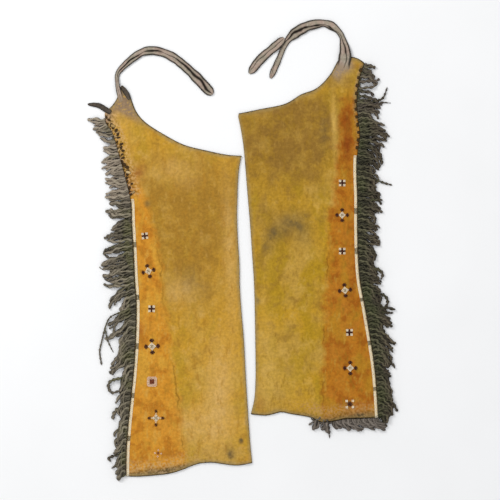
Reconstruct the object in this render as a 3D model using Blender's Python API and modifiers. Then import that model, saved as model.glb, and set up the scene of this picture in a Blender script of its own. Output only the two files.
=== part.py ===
"""Pair of fringed hide leggings, laid flat side by side.

Sizes below are in millimetres. X runs to the right, Y runs up the legs to the hips, and Z is up
from the surface that the pair lies on. Left and right are as seen from above.
"""

import math
import random
from collections import namedtuple

import bmesh
import bpy
from mathutils import Vector

MM = 0.001

# Hide and seams
hide = 1.8
seam_gap = 0.3
roll_out = 3.0
front_rest = hide + seam_gap
front_middle = front_rest + hide / 2
front_top = front_rest + hide

# Rows up each leg and columns across it, closer together towards the hip peak
row_spacing = 36.0
leg_columns = 8
column_lean = 1.3
flat_margin = 13.0
swell_ease = 30.0
swell_limit = 3.2

# Bead lane
lane_inset = 1.0
lane_width = 9.5
lane_height = 1.8
lane_steps = 30
left_lane_top = 131.0
right_lane_top = 240.0
share_step = 0.002

# Fringe
thong_spacing = 8.8
strip_gap = 0.5
strip_depth = 3.0
strip_bottom = 0.3
strip_middle = 2.7
strip_top = 5.1
mitre_limit = 0.6
cell_sides = (1, 2)
thong_width = 6.6
thong_tip = 3.0
thong_height = 1.9
thong_lift = 4.5
thong_fill = 0.5
droop_sway = 0.09
sway_length = 44.0
thong_bend = 0.34
bend_length = 83.0
shortest_thong = 0.74
longest_thong = 1.16
narrowest_thong = 0.8
bare_hip_rows = 3
hem_fringe_start = 1
hem_fringe_end = 6
left_seed = 3
right_seed = 5
hem_seed = 8

root_share = 0.08
middle_share = 0.5
taper_start = 0.5
arch_span = 1.15

# Hip ties
tie_step = 2
look_ahead = 0.05

Section = namedtuple("Section", "outer_x outer_y fold_x fold_y")
EdgePoint = namedtuple("EdgePoint", "x y")
Swell = namedtuple("Swell", "across up wide tall height turn")
Reach = namedtuple("Reach", "up length droop")
RollStep = namedtuple("RollStep", "inset level")
StrapRow = namedtuple("StrapRow", "x y width height rest")

# Each row is one section across a leg, from the hem to the hip.
LEFT_SECTIONS = (
    Section(-292, -562, 24, -529),
    Section(-291, -500, 19, -480),
    Section(-287, -440, 15, -425),
    Section(-280, -370, 11, -365),
    Section(-272, -290, 7, -295),
    Section(-267, -205, 3, -220),
    Section(-266, -130, -3, -150),
    Section(-270, -70, -7, -90),
    Section(-273, -5, -8, -30),
    Section(-277, 65, -12, 30),
    Section(-280, 129, -14, 90),
    Section(-293, 186, -13, 130),
    Section(-309, 244, -12, 165),
    Section(-324, 294, -10, 195),
    Section(-341, 322, -8, 213),
    Section(-343, 349, -6, 223),
    Section(-329, 361, -5, 230),
    Section(-314, 382, -4, 235),
    Section(-307, 409, -2, 239),
)
RIGHT_SECTIONS = (
    Section(340, -416, 21, -407),
    Section(338, -380, 30, -368),
    Section(335, -335, 33, -320),
    Section(329, -275, 33, -265),
    Section(318, -205, 32, -200),
    Section(306, -135, 31, -140),
    Section(295, -78, 29, -75),
    Section(290, -20, 25, -15),
    Section(288, 60, 20, 60),
    Section(288, 130, 15, 120),
    Section(286, 195, 10, 180),
    Section(287, 241, 6, 230),
    Section(293, 290, 2, 270),
    Section(289, 330, -2, 295),
    Section(286, 370, -5, 312),
    Section(290, 415, -8, 326),
    Section(297, 448, -10, 337),
    Section(306, 470, -9, 345),
)

# The hem and the waist between their corners, from the outer side to the fold.
LEFT_HEM = (
    EdgePoint(-265, -563),
    EdgePoint(-221, -560),
    EdgePoint(-181, -555),
    EdgePoint(-151, -546),
    EdgePoint(-129, -537),
    EdgePoint(-106, -530),
    EdgePoint(-74, -528),
    EdgePoint(-45, -532),
    EdgePoint(-12, -535),
)
LEFT_WAIST = (
    EdgePoint(-294, 404),
    EdgePoint(-281, 388),
    EdgePoint(-265, 349),
    EdgePoint(-240, 321),
    EdgePoint(-195, 292),
    EdgePoint(-144, 266),
    EdgePoint(-84, 251),
    EdgePoint(-40, 242),
)
RIGHT_HEM = (
    EdgePoint(288, -418),
    EdgePoint(256, -419),
    EdgePoint(224, -425),
    EdgePoint(192, -426),
    EdgePoint(170, -415),
    EdgePoint(119, -406),
    EdgePoint(96, -402),
    EdgePoint(60, -410),
)
RIGHT_WAIST = (
    EdgePoint(292, 481),
    EdgePoint(272, 487),
    EdgePoint(250, 487),
    EdgePoint(239, 478),
    EdgePoint(218, 441),
    EdgePoint(185, 408),
    EdgePoint(147, 393),
    EdgePoint(106, 369),
    EdgePoint(45, 356),
)

# The front layer's middle as it rolls down at the fold: distance in from the fold, and level.
FOLD_ROLL = (
    RollStep(5.0, front_middle),
    RollStep(1.9, front_middle - 0.2),
    RollStep(0.9, 1.8),
    RollStep(0.9, 0.0),
)

# Soft swells of the front layer: shares across and up the leg, sizes in millimetres.
LEFT_SWELLS = (
    Swell(0.72, 0.60, 26, 150, 3.0, 0.25),
    Swell(0.35, 0.33, 60, 110, 1.8, -0.20),
    Swell(0.55, 0.85, 70, 60, 2.2, 0.60),
    Swell(0.45, 0.10, 110, 24, 2.4, 0.10),
    Swell(0.80, 0.25, 30, 130, 2.0, -0.10),
)
RIGHT_SWELLS = (
    Swell(0.42, 0.78, 110, 22, 2.4, -0.05),
    Swell(0.32, 0.45, 24, 170, 2.6, 0.08),
    Swell(0.68, 0.30, 70, 90, 2.0, 0.30),
    Swell(0.60, 0.62, 40, 70, 2.6, -0.50),
    Swell(0.50, 0.06, 120, 30, 1.8, 0.05),
)

# Thongs of the side fringe at heights up the leg: length, and droop in degrees to the hem.
LEFT_REACH = (
    Reach(-561, 36, 54),
    Reach(-509, 52, 58),
    Reach(-471, 68, 60),
    Reach(-396, 76, 59),
    Reach(-321, 86, 56),
    Reach(-234, 92, 50),
    Reach(-171, 80, 42),
    Reach(-96, 78, 30),
    Reach(-41, 82, 22),
    Reach(29, 70, 14),
    Reach(66, 54, 8),
    Reach(129, 60, 4),
    Reach(184, 50, 4),
    Reach(279, 42, 0),
    Reach(318, 30, 6),
    Reach(352, 46, -12),
)
RIGHT_REACH = (
    Reach(-416, 34, 40),
    Reach(-370, 56, 40),
    Reach(-320, 60, 44),
    Reach(-225, 64, 34),
    Reach(-130, 66, 26),
    Reach(-79, 54, 24),
    Reach(-26, 50, 24),
    Reach(90, 50, 14),
    Reach(196, 58, 8),
    Reach(290, 66, 2),
    Reach(370, 66, -4),
    Reach(411, 62, -8),
    Reach(450, 38, 4),
    Reach(470, 24, 10),
)
HEM_REACH = (
    Reach(150, 22, 4),
    Reach(205, 38, 8),
    Reach(250, 28, -8),
    Reach(300, 36, -4),
    Reach(335, 32, 10),
)

# Hip ties along their middle: width and height of the rolled hide, and where it rests.
LEFT_TIE = (
    StrapRow(-304, 374, 12, 3.6, 4.3),
    StrapRow(-308, 392, 12, 3.8, 4.3),
    StrapRow(-312, 414, 10, 4.2, 4.3),
    StrapRow(-313, 440, 11, 5.0, 0.0),
    StrapRow(-302, 458, 15, 5.5, 0.0),
    StrapRow(-274, 483, 18, 6.0, 0.0),
    StrapRow(-250, 498, 20, 6.0, 0.0),
    StrapRow(-224, 502, 21, 6.5, 0.0),
    StrapRow(-196, 496, 21, 6.5, 0.0),
    StrapRow(-170, 483, 22, 6.5, 0.0),
    StrapRow(-146, 464, 23, 6.5, 0.0),
    StrapRow(-122, 442, 24, 6.5, 0.0),
    StrapRow(-102, 421, 26, 6.5, 0.0),
    StrapRow(-86, 405, 26, 6.0, 0.0),
    StrapRow(-79, 398, 17, 4.5, 0.0),
)
RIGHT_TIE = (
    StrapRow(250, 458, 30, 3.4, 4.3),
    StrapRow(254, 474, 31, 3.6, 4.3),
    StrapRow(256, 491, 30, 4.0, 4.3),
    StrapRow(256, 514, 22, 5.0, 0.0),
    StrapRow(250, 535, 19, 5.5, 0.0),
    StrapRow(237, 554, 20, 6.0, 0.0),
    StrapRow(216, 568, 19, 6.0, 0.0),
    StrapRow(188, 569, 25, 6.0, 0.0),
    StrapRow(158, 562, 27, 6.5, 0.0),
    StrapRow(131, 546, 26, 6.0, 0.0),
    StrapRow(110, 524, 18, 4.5, 0.0),
    StrapRow(97, 498, 14, 3.8, 0.0),
    StrapRow(86, 471, 13, 4.0, 0.0),
    StrapRow(76, 446, 15, 4.0, 0.0),
    StrapRow(71, 437, 11, 3.0, 0.0),
)
RIGHT_TAIL = (
    StrapRow(110, 535, 15, 3.2, 5.7),
    StrapRow(100, 528, 20, 3.6, 4.7),
    StrapRow(87, 517, 20, 3.8, 3.9),
    StrapRow(67, 500, 21, 4.6, 0.0),
    StrapRow(53, 488, 23, 5.0, 0.0),
    StrapRow(40, 474, 24, 5.0, 0.0),
    StrapRow(28, 458, 20, 4.5, 0.0),
    StrapRow(21, 448, 11, 3.0, 0.0),
)

# A strap's own cross-section as shares of its width and height, round from the lower left.
STRAP_SECTION = (
    (-0.40, 0.0),
    (0.40, 0.0),
    (0.50, 0.40),
    (0.36, 0.94),
    (0.10, 0.96),
    (0.0, 0.55),
    (-0.10, 0.96),
    (-0.36, 0.94),
    (-0.50, 0.40),
)


def smooth_point(points, lengths, distance):
    """Point at a distance along a smooth curve through the given points."""
    last = len(points) - 2
    spot = 0
    while spot < last and distance > lengths[spot + 1]:
        spot += 1
    step = lengths[spot + 1] - lengths[spot]
    t = min(max((distance - lengths[spot]) / step, 0.0), 1.0)
    here = points[spot]
    there = points[spot + 1]
    before = points[max(spot - 1, 0)]
    after = points[min(spot + 2, len(points) - 1)]
    pull_here = (there - before) / 2
    pull_there = (after - here) / 2
    return (
        here * (2 * t**3 - 3 * t**2 + 1)
        + pull_here * (t**3 - 2 * t**2 + t)
        + there * (3 * t**2 - 2 * t**3)
        + pull_there * (t**3 - t**2)
    )


def running_lengths(points):
    """Distance from the first point to each point."""
    lengths = [0.0]
    for start, end in zip(points, points[1:]):
        lengths.append(lengths[-1] + (end - start).length)
    return lengths


def along(points, share):
    """Point at a share of the way along a smooth curve."""
    lengths = running_lengths(points)
    return smooth_point(points, lengths, share * lengths[-1])


def between(rows, key, value, place):
    """Value of one column of a table at a place, between its two nearest rows."""
    ordered = sorted(rows, key=lambda row: getattr(row, key))
    if place <= getattr(ordered[0], key):
        return getattr(ordered[0], value)
    for low, high in zip(ordered, ordered[1:]):
        top = getattr(high, key)
        if place <= top:
            base = getattr(low, key)
            share = (place - base) / (top - base)
            return getattr(low, value) * (1 - share) + getattr(high, value) * share
    return getattr(ordered[-1], value)


class Leg:
    """The flat outline of one leg, as a patch between its four edges."""

    def __init__(self, sections, hem, waist, swells, outward):
        self.outer = [Vector((row.outer_x, row.outer_y)) for row in sections]
        self.fold = [Vector((row.fold_x, row.fold_y)) for row in sections]
        middle = [(a + b) / 2 for a, b in zip(self.outer, self.fold)]
        sides = [self.outer, self.fold, middle]
        totals = [running_lengths(side) for side in sides]
        self.lengths = [sum(row) / len(row) for row in zip(*totals)]
        self.hem = [self.outer[0], *map(Vector, hem), self.fold[0]]
        self.waist = [self.outer[-1], *map(Vector, waist), self.fold[-1]]
        self.swells = swells
        self.outward = outward
        self.rows = self.row_shares()

    def row_shares(self):
        """Shares up the leg of its rows: every section, and places between far ones."""
        whole = self.lengths[-1]
        shares = [0.0]
        for low, high in zip(self.lengths, self.lengths[1:]):
            parts = max(round((high - low) / row_spacing), 1)
            shares += [(low + (high - low) * (count + 1) / parts) / whole for count in range(parts)]
        return shares

    def side(self, points, up):
        return smooth_point(points, self.lengths, up * self.lengths[-1])

    def point(self, across, up):
        """Plan position at shares across (outer side to fold) and up (hem to waist)."""
        sides = self.side(self.outer, up) * (1 - across) + self.side(self.fold, up) * across
        ends = along(self.hem, across) * (1 - up) + along(self.waist, across) * up
        low = self.outer[0] * (1 - across) + self.fold[0] * across
        high = self.outer[-1] * (1 - across) + self.fold[-1] * across
        return sides + ends - low * (1 - up) - high * up

    def width(self, up):
        return (self.side(self.fold, up) - self.side(self.outer, up)).length

    def columns(self, up):
        """Shares across the leg of the columns that both layers have."""
        width = self.width(up)
        start = flat_margin / width
        span = 1 - 2 * flat_margin / width - start
        steps = [(count / leg_columns) ** column_lean for count in range(leg_columns + 1)]
        return [0.0] + [start + span * step for step in steps]

    def swell(self, across, up):
        """Height that the front layer stands off the back layer, besides the seam gap."""
        here = self.point(across, up)
        width = self.width(up)
        rim = min(across * width - flat_margin, (1 - across) * width - flat_margin)
        ease = min(max(rim / swell_ease, 0.0), 1.0)
        total = 0.0
        for swell in self.swells:
            away = here - self.point(swell.across, swell.up)
            turned_x = away.x * math.cos(swell.turn) + away.y * math.sin(swell.turn)
            turned_y = away.y * math.cos(swell.turn) - away.x * math.sin(swell.turn)
            spread = (turned_x / swell.wide) ** 2 + (turned_y / swell.tall) ** 2
            total += swell.height * math.exp(-spread)
        return min(total, swell_limit) * ease


def material(name, colour, roughness):
    made = bpy.data.materials.new(name)
    made.use_nodes = True
    shader = made.node_tree.nodes["Principled BSDF"]
    shader.inputs["Base Color"].default_value = (*colour, 1.0)
    shader.inputs["Roughness"].default_value = roughness
    made.diffuse_color = (*colour, 1.0)
    return made


def keep(bm, name, collection, finish):
    """Turn a bmesh in millimetres into a named object in metres."""
    bmesh.ops.scale(bm, vec=(MM, MM, MM), verts=bm.verts)
    mesh = bpy.data.meshes.new(name)
    bm.to_mesh(mesh)
    bm.free()
    made = bpy.data.objects.new(name, mesh)
    made.data.materials.append(finish)
    collection.objects.link(made)
    return made


def add_wall(made):
    """Give an open surface the thickness of the hide, half on each side."""
    wall = made.modifiers.new("hide thickness", "SOLIDIFY")
    wall.thickness = hide * MM
    wall.offset = 0.0
    wall.use_even_offset = True


def surface(leg, stations):
    """Grid over a leg; stations gives, for a height up, each column's share and level."""
    columns = len(stations(0.0))
    rows = len(leg.rows)
    bm = bmesh.new()
    bmesh.ops.create_grid(bm, x_segments=columns - 1, y_segments=rows - 1, size=0.5)
    for vert in bm.verts:
        up = leg.rows[round((vert.co.y + 0.5) * (rows - 1))]
        column = round((vert.co.x + 0.5) * (columns - 1))
        share, level = stations(up)[column]
        spot = leg.point(share, up)
        vert.co = (spot.x, spot.y, level)
    if leg.outward > 0:
        bmesh.ops.reverse_faces(bm, faces=bm.faces)
    return bm


def front_panel(name, leg, collection, finish):
    """Front layer, with its soft swells, rolled down round the fold to the surface below."""

    def stations(up):
        width = leg.width(up)
        columns = [(share, front_middle + leg.swell(share, up)) for share in leg.columns(up)]
        columns += [(1 - step.inset / width, step.level) for step in FOLD_ROLL]
        return columns

    made = keep(surface(leg, stations), name, collection, finish)
    add_wall(made)
    return made


def back_panel(name, leg, collection, finish):
    """Back layer, flat on the surface below, ending inside the fold of the front layer."""

    def stations(up):
        shares = [*leg.columns(up), 1 - roll_out / leg.width(up)]
        return [(share, hide / 2) for share in shares]

    made = keep(surface(leg, stations), name, collection, finish)
    add_wall(made)
    return made


def loft(rings):
    """Closed body through rings of equal counts, with a flat cap at each end."""
    bm = bmesh.new()
    rows = [[bm.verts.new(point) for point in ring] for ring in rings]
    for low, high in zip(rows, rows[1:]):
        for spot in range(len(low)):
            after = (spot + 1) % len(low)
            bm.faces.new((low[spot], low[after], high[after], high[spot]))
    bm.faces.new(reversed(rows[0]))
    bm.faces.new(rows[-1])
    bmesh.ops.recalc_face_normals(bm, faces=bm.faces)
    return bm


def bead_lane(name, leg, top, collection, finish):
    """Strip of beadwork on the front layer, along the outer seam from the hem to the hip."""
    rest = front_top + seam_gap
    rings = []
    for count in range(lane_steps + 1):
        up = top * count / lane_steps
        width = leg.width(up)
        near = leg.point(lane_inset / width, up)
        far = leg.point((lane_inset + lane_width) / width, up)
        ring = [(spot.x, spot.y, rest) for spot in (near, far)]
        ring += [(spot.x, spot.y, rest + lane_height) for spot in (far, near)]
        rings.append(ring)
    return keep(loft(rings), name, collection, finish)


def outward_at(points, spot, outward):
    """Mitred offset direction at one corner of an edge."""
    total = Vector((0.0, 0.0))
    for start, end in ((spot - 1, spot), (spot, spot + 1)):
        if 0 <= start and end < len(points):
            run = (points[end] - points[start]).normalized()
            total += Vector((run.y, -run.x)) * outward
    total.normalize()
    start = max(spot - 1, 0)
    run = (points[start + 1] - points[start]).normalized()
    face = Vector((run.y, -run.x)) * outward
    return total / max(total.dot(face), mitre_limit)


def edge_cells(points, outward):
    """Cell corners along an edge, each with its offset direction."""
    corners = []
    for spot in range(len(points) - 1):
        low = outward_at(points, spot, outward)
        high = outward_at(points, spot + 1, outward)
        cells = max(round((points[spot + 1] - points[spot]).length / thong_spacing), 1)
        for count in range(cells):
            share = count / cells
            place = points[spot].lerp(points[spot + 1], share)
            corners.append((place, low.lerp(high, share)))
    corners.append((points[-1], outward_at(points, len(points) - 1, outward)))
    return corners


def backing_strip(corners):
    """Narrow strip along an edge; its outer side is two rows of cells."""
    inner = strip_gap
    outer = strip_gap + strip_depth
    profile = (
        (inner, strip_bottom),
        (outer, strip_bottom),
        (outer, strip_middle),
        (outer, strip_top),
        (inner, strip_top),
    )
    rings = []
    for place, direction in corners:
        ring = [place + direction * offset for offset, _ in profile]
        levels = [level for _, level in profile]
        rings.append([(spot.x, spot.y, level) for spot, level in zip(ring, levels)])
    bm = bmesh.new()
    rows = [[bm.verts.new(point) for point in ring] for ring in rings]
    cells = []
    for low, high in zip(rows, rows[1:]):
        for spot in range(len(low)):
            after = (spot + 1) % len(low)
            face = bm.faces.new((low[spot], low[after], high[after], high[spot]))
            if spot in cell_sides:
                cells.append(face)
    bm.faces.new(reversed(rows[0]))
    bm.faces.new(rows[-1])
    bmesh.ops.recalc_face_normals(bm, faces=bm.faces)
    return bm, list(zip(cells[0::2], cells[1::2]))


def grow_thong(bm, root, run, steps):
    """Extrude one root cell through its steps: middle, sideways direction, width, level."""
    face = root
    sideways = Vector((run.x, run.y, 0.0)).normalized()
    for middle, turned, width, level in steps:
        centre = face.calc_center_median()
        face = bmesh.ops.extrude_discrete_faces(bm, faces=[face])["faces"][0]
        turned = Vector((turned.x, turned.y, 0.0)).normalized()
        if turned.dot(sideways) < 0:
            turned = -turned
        for vert in face.verts:
            away = vert.co - centre
            side = 1 if away.dot(sideways) > 0 else -1
            rise = thong_height / 2 if away.z > 0 else -thong_height / 2
            vert.co = Vector((middle.x, middle.y, level + rise)) + turned * side * width / 2
        sideways = turned


def thong_steps(start, face_out, heading, length, bend, upper, wide):
    """Middle line of one thong, from its root out to its tip."""
    level = (strip_middle + strip_top) / 2 if upper else (strip_bottom + strip_middle) / 2
    place = start.copy()
    reached = 0.0
    steps = []
    for share in (root_share, middle_share, 1.0):
        turn = heading + bend * (share - middle_share)
        flow = Vector((math.cos(turn), math.sin(turn)))
        if share == root_share:
            flow = face_out
        place = place + flow * length * (share - reached)
        reached = share
        taper = max(share - taper_start, 0.0) / (1 - taper_start)
        width = wide + (thong_tip - wide) * taper
        rise = thong_lift * math.sin(math.pi * min(share * arch_span, 1.0)) if upper else 0.0
        steps.append((place.copy(), Vector((-flow.y, flow.x)), width, level + rise))
    return steps


def fringe(name, points, outward, reach, key, down, collection, finish, seed):
    """Backing strip along an edge with one thong to a cell, low and high by turns."""
    corners = edge_cells(points, outward)
    bm, pairs = backing_strip(corners)
    dice = random.Random(seed)
    for count, (low_cell, high_cell) in enumerate(pairs):
        upper = count % 2 == 1
        cell = high_cell if upper else low_cell
        run = corners[count + 1][0] - corners[count][0]
        face_out = Vector((run.y, -run.x)).normalized() * outward
        middle = (corners[count][0] + corners[count + 1][0]) / 2
        start = middle + face_out * (strip_gap + strip_depth)
        place = getattr(middle, "y" if key == "side" else "x")
        length = between(reach, "up", "length", place)
        length *= dice.uniform(shortest_thong, longest_thong)
        droop = math.radians(between(reach, "up", "droop", place))
        room = 2 * run.length * math.cos(droop)
        droop += droop_sway * math.sin(place / sway_length)
        base = down[0] + droop * down[1]
        bend = thong_bend * math.sin(place / bend_length + seed)
        wide = min(thong_width, room * thong_fill) * dice.uniform(narrowest_thong, 1.0)
        steps = thong_steps(start, face_out, base, length, bend * down[1], upper, wide)
        grow_thong(bm, cell, run, steps)
    bmesh.ops.recalc_face_normals(bm, faces=bm.faces)
    return keep(bm, name, collection, finish)


def side_edge(leg, bare_rows):
    """Corners of the outer edge, the same points as the panels' rows, up to the bare hip."""
    return [leg.point(0.0, up) for up in leg.rows[:len(leg.rows) - bare_rows]]


def hem_edge(leg, first, last):
    """Corners along the hem between two of the panels' columns."""
    return [leg.point(share, 0.0) for share in leg.columns(0.0)[first:last + 1]]


def strap(name, rows, collection, finish):
    """Rolled strap of hide through its rows, with a slit along its top."""
    points = [Vector((row.x, row.y)) for row in rows]
    last = len(rows) - 1
    steps = list(range(len(rows)))
    rings = []
    for index in range(last * tie_step + 1):
        spot = index / tie_step
        here = smooth_point(points, steps, spot)
        ahead = smooth_point(points, steps, min(spot + look_ahead, last))
        behind = smooth_point(points, steps, max(spot - look_ahead, 0))
        run = (ahead - behind).normalized()
        across = Vector((run.y, -run.x))
        first = min(int(spot), last - 1)
        low = rows[first]
        high = rows[first + 1]
        share = spot - first
        ease = share * share * (3 - 2 * share)
        width = low.width * (1 - share) + high.width * share
        height = low.height * (1 - share) + high.height * share
        rest = low.rest * (1 - ease) + high.rest * ease
        ring = []
        for side, rise in STRAP_SECTION:
            corner = here + across * side * width
            ring.append((corner.x, corner.y, rest + rise * height))
        rings.append(ring)
    return keep(loft(rings), name, collection, finish)


def share_at_height(leg, height):
    """Share up the leg where the outer edge reaches a height, below the hip."""
    up = 0.0
    while leg.point(0.0, up).y < height:
        up += share_step
    return up


def build():
    for old in list(bpy.data.objects):
        bpy.data.objects.remove(old, do_unlink=True)
    collection = bpy.data.collections.new("fringed_hide_leggings")
    bpy.context.scene.collection.children.link(collection)

    ochre = material("ochre painted hide", (0.52, 0.30, 0.06), 0.85)
    plain = material("bare hide", (0.45, 0.30, 0.13), 0.9)
    dark = material("smoked fringe hide", (0.07, 0.06, 0.035), 0.9)
    grey = material("grey tie hide", (0.22, 0.17, 0.13), 0.85)
    beads = material("white beads", (0.80, 0.72, 0.54), 0.3)

    left = Leg(LEFT_SECTIONS, LEFT_HEM, LEFT_WAIST, LEFT_SWELLS, -1)
    right = Leg(RIGHT_SECTIONS, RIGHT_HEM, RIGHT_WAIST, RIGHT_SWELLS, 1)

    for side, leg in (("left", left), ("right", right)):
        back_panel(f"{side}_back_panel", leg, collection, plain)
        front_panel(f"{side}_front_panel", leg, collection, ochre)

    for name, leg, top in (("left", left, left_lane_top), ("right", right, right_lane_top)):
        bead_lane(f"{name}_bead_lane", leg, share_at_height(leg, top), collection, beads)

    edge = side_edge(left, bare_hip_rows)
    down = (math.pi, 1)
    fringe("left_fringe", edge, -1, LEFT_REACH, "side", down, collection, dark, left_seed)
    edge = side_edge(right, 0)
    down = (0.0, -1)
    fringe("right_fringe", edge, 1, RIGHT_REACH, "side", down, collection, dark, right_seed)
    edge = hem_edge(right, hem_fringe_start, hem_fringe_end)
    down = (-math.pi / 2, 1)
    fringe("right_hem_fringe", edge, -1, HEM_REACH, "hem", down, collection, dark, hem_seed)

    strap("left_tie", LEFT_TIE, collection, grey)
    strap("right_tie", RIGHT_TIE, collection, grey)
    strap("right_tie_tail", RIGHT_TAIL, collection, grey)


build()
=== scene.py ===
import math
import random
from collections import namedtuple

import bmesh
import bpy
import numpy as np
from mathutils import Matrix, Vector, noise
from mathutils.bvhtree import BVHTree


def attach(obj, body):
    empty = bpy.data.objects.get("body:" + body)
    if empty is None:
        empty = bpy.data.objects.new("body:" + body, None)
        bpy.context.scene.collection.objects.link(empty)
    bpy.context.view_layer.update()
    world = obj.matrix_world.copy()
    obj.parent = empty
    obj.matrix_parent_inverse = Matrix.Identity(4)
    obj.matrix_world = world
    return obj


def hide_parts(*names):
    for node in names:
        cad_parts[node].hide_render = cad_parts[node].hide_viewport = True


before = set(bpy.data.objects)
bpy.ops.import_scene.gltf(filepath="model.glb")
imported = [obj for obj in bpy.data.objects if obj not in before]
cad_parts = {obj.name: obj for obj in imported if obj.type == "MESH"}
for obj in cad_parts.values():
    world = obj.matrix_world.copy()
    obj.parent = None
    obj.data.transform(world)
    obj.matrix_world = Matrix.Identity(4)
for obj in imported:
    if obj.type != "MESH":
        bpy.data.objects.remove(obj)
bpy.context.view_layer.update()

# Lengths are in millimetres until a mesh is made. X runs right, Y up to the hips, Z up.
mm = 0.001

Section = namedtuple("Section", "outerX outerY foldX foldY")
Crease = namedtuple("Crease", "x1 y1 x2 y2 x3 y3 height width")
Stain = namedtuple("Stain", "kind x y wide tall turn strength")
Grain = namedtuple("Grain", "key size detail rough stretchX stretchY", defaults=(1, 1))
Coat = namedtuple("Coat", "paint source low high least most times keep", defaults=(0, 1, None, None))
Reach = namedtuple("Reach", "up length droop")
StrapRow = namedtuple("StrapRow", "x y width height rest slit", defaults=(0,))
Motif = namedtuple("Motif", "chart x y turn pitch")
Loose = namedtuple("Loose", "path width tip level tone twist", defaults=(1,))


# Curves and arrays shared by the pieces

def runningLengths(points):
    steps = np.linalg.norm(np.diff(points, axis=0), axis=1)
    return np.concatenate([[0.0], np.cumsum(steps)])


def curveAt(points, lengths, places):
    # points of a smooth curve at distances along it
    points = np.asarray(points, float)
    places = np.asarray(places, float)
    spot = np.clip(np.searchsorted(lengths, places) - 1, 0, len(points) - 2)
    share = np.clip((places - lengths[spot]) / (lengths[spot + 1] - lengths[spot]), 0, 1)[:, None]
    here = points[spot]
    there = points[spot + 1]
    pullHere = (there - points[np.maximum(spot - 1, 0)]) / 2
    pullThere = (points[np.minimum(spot + 2, len(points) - 1)] - here) / 2
    return (
        here * (2 * share**3 - 3 * share**2 + 1)
        + pullHere * (share**3 - 2 * share**2 + share)
        + there * (3 * share**2 - 2 * share**3)
        + pullThere * (share**3 - share**2)
    )


def smoothLine(points, count):
    points = np.asarray(points, float)
    lengths = runningLengths(points)
    return curveAt(points, lengths, np.linspace(0, lengths[-1], count))


def smoothStep(value):
    value = np.clip(value, 0, 1)
    return value * value * (3 - 2 * value)


def distanceTo(points, line):
    # distance from each point to a polyline, and the share along the line of its nearest place
    best = np.full(len(points), 1e9)
    share = np.zeros(len(points))
    total = len(line) - 1
    for spot in range(total):
        start = line[spot]
        run = line[spot + 1] - start
        part = np.clip((points - start) @ run / max(run @ run, 1e-9), 0, 1)
        away = np.linalg.norm(points - start - part[:, None] * run, axis=1)
        nearer = away < best
        best = np.where(nearer, away, best)
        share = np.where(nearer, (spot + part) / total, share)
    return best, share


def noiseAt(points, size, seed):
    # soft noise from -1 to 1 with features of a size in millimetres
    shift = Vector((seed * 17.3, seed * 5.1, seed * 9.7))
    return np.array([noise.noise(Vector((x / size, y / size, 0.0)) + shift) for x, y in points])


# Legs: the outline of each, as a patch between its four edges

leftSections = (
    Section(-292, -562, 24, -529),
    Section(-291, -500, 19, -480),
    Section(-287, -440, 15, -425),
    Section(-280, -370, 11, -365),
    Section(-272, -290, 7, -295),
    Section(-267, -205, 3, -220),
    Section(-266, -130, -3, -150),
    Section(-270, -70, -7, -90),
    Section(-273, -5, -8, -30),
    Section(-277, 65, -12, 30),
    Section(-280, 129, -14, 90),
    Section(-293, 186, -13, 130),
    Section(-309, 244, -12, 165),
    Section(-324, 294, -10, 195),
    Section(-341, 322, -8, 213),
    Section(-343, 349, -6, 223),
    Section(-329, 361, -5, 230),
    Section(-314, 382, -4, 235),
    Section(-307, 409, -2, 239),
)
rightSections = (
    Section(340, -416, 21, -407),
    Section(338, -380, 30, -368),
    Section(335, -335, 33, -320),
    Section(329, -275, 33, -265),
    Section(318, -205, 32, -200),
    Section(306, -135, 31, -140),
    Section(295, -78, 29, -75),
    Section(290, -20, 25, -15),
    Section(288, 60, 20, 60),
    Section(288, 130, 15, 120),
    Section(286, 195, 10, 180),
    Section(287, 241, 6, 230),
    Section(293, 290, 2, 270),
    Section(289, 330, -2, 295),
    Section(286, 370, -5, 312),
    Section(290, 415, -8, 326),
    Section(297, 448, -10, 337),
    Section(306, 470, -9, 345),
)
leftHem = (
    (-265, -563), (-221, -560), (-181, -555), (-151, -546), (-129, -537),
    (-106, -530), (-74, -528), (-45, -532), (-12, -535),
)
leftWaist = (
    (-294, 404), (-281, 388), (-265, 349), (-240, 321), (-195, 292),
    (-144, 266), (-84, 251), (-40, 242),
)
rightHem = (
    (288, -418), (256, -419), (224, -425), (192, -426), (170, -415),
    (119, -406), (96, -402), (60, -410),
)
rightWaist = (
    (292, 481), (272, 487), (250, 487), (239, 478), (218, 441),
    (185, 408), (147, 393), (106, 369), (45, 356),
)


class Leg:
    def __init__(self, name, sections, hem, waist, outward):
        self.name = name
        self.outward = outward
        self.outer = np.array([(row.outerX, row.outerY) for row in sections], float)
        self.fold = np.array([(row.foldX, row.foldY) for row in sections], float)
        sides = (self.outer, self.fold, (self.outer + self.fold) / 2)
        self.lengths = sum(runningLengths(side) for side in sides) / 3
        self.length = self.lengths[-1]
        self.hem = np.array([self.outer[0], *hem, self.fold[0]], float)
        self.waist = np.array([self.outer[-1], *waist, self.fold[-1]], float)

    def at(self, across, up):
        # places at shares across (outer side to fold) and up (hem to waist)
        across = np.asarray(across, float)
        up = np.asarray(up, float)
        hemLengths = runningLengths(self.hem)
        waistLengths = runningLengths(self.waist)
        a = across[:, None]
        u = up[:, None]
        outer = curveAt(self.outer, self.lengths, up * self.length)
        fold = curveAt(self.fold, self.lengths, up * self.length)
        hem = curveAt(self.hem, hemLengths, across * hemLengths[-1])
        waist = curveAt(self.waist, waistLengths, across * waistLengths[-1])
        low = self.outer[0] * (1 - a) + self.fold[0] * a
        high = self.outer[-1] * (1 - a) + self.fold[-1] * a
        return outer * (1 - a) + fold * a + (hem - low) * (1 - u) + (waist - high) * u

    def width(self, up):
        ones = np.ones(len(up))
        return np.linalg.norm(self.at(ones, up) - self.at(ones * 0, up), axis=1)

    def edge(self, count=400):
        return self.at(np.zeros(count), np.linspace(0, 1, count))


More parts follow.
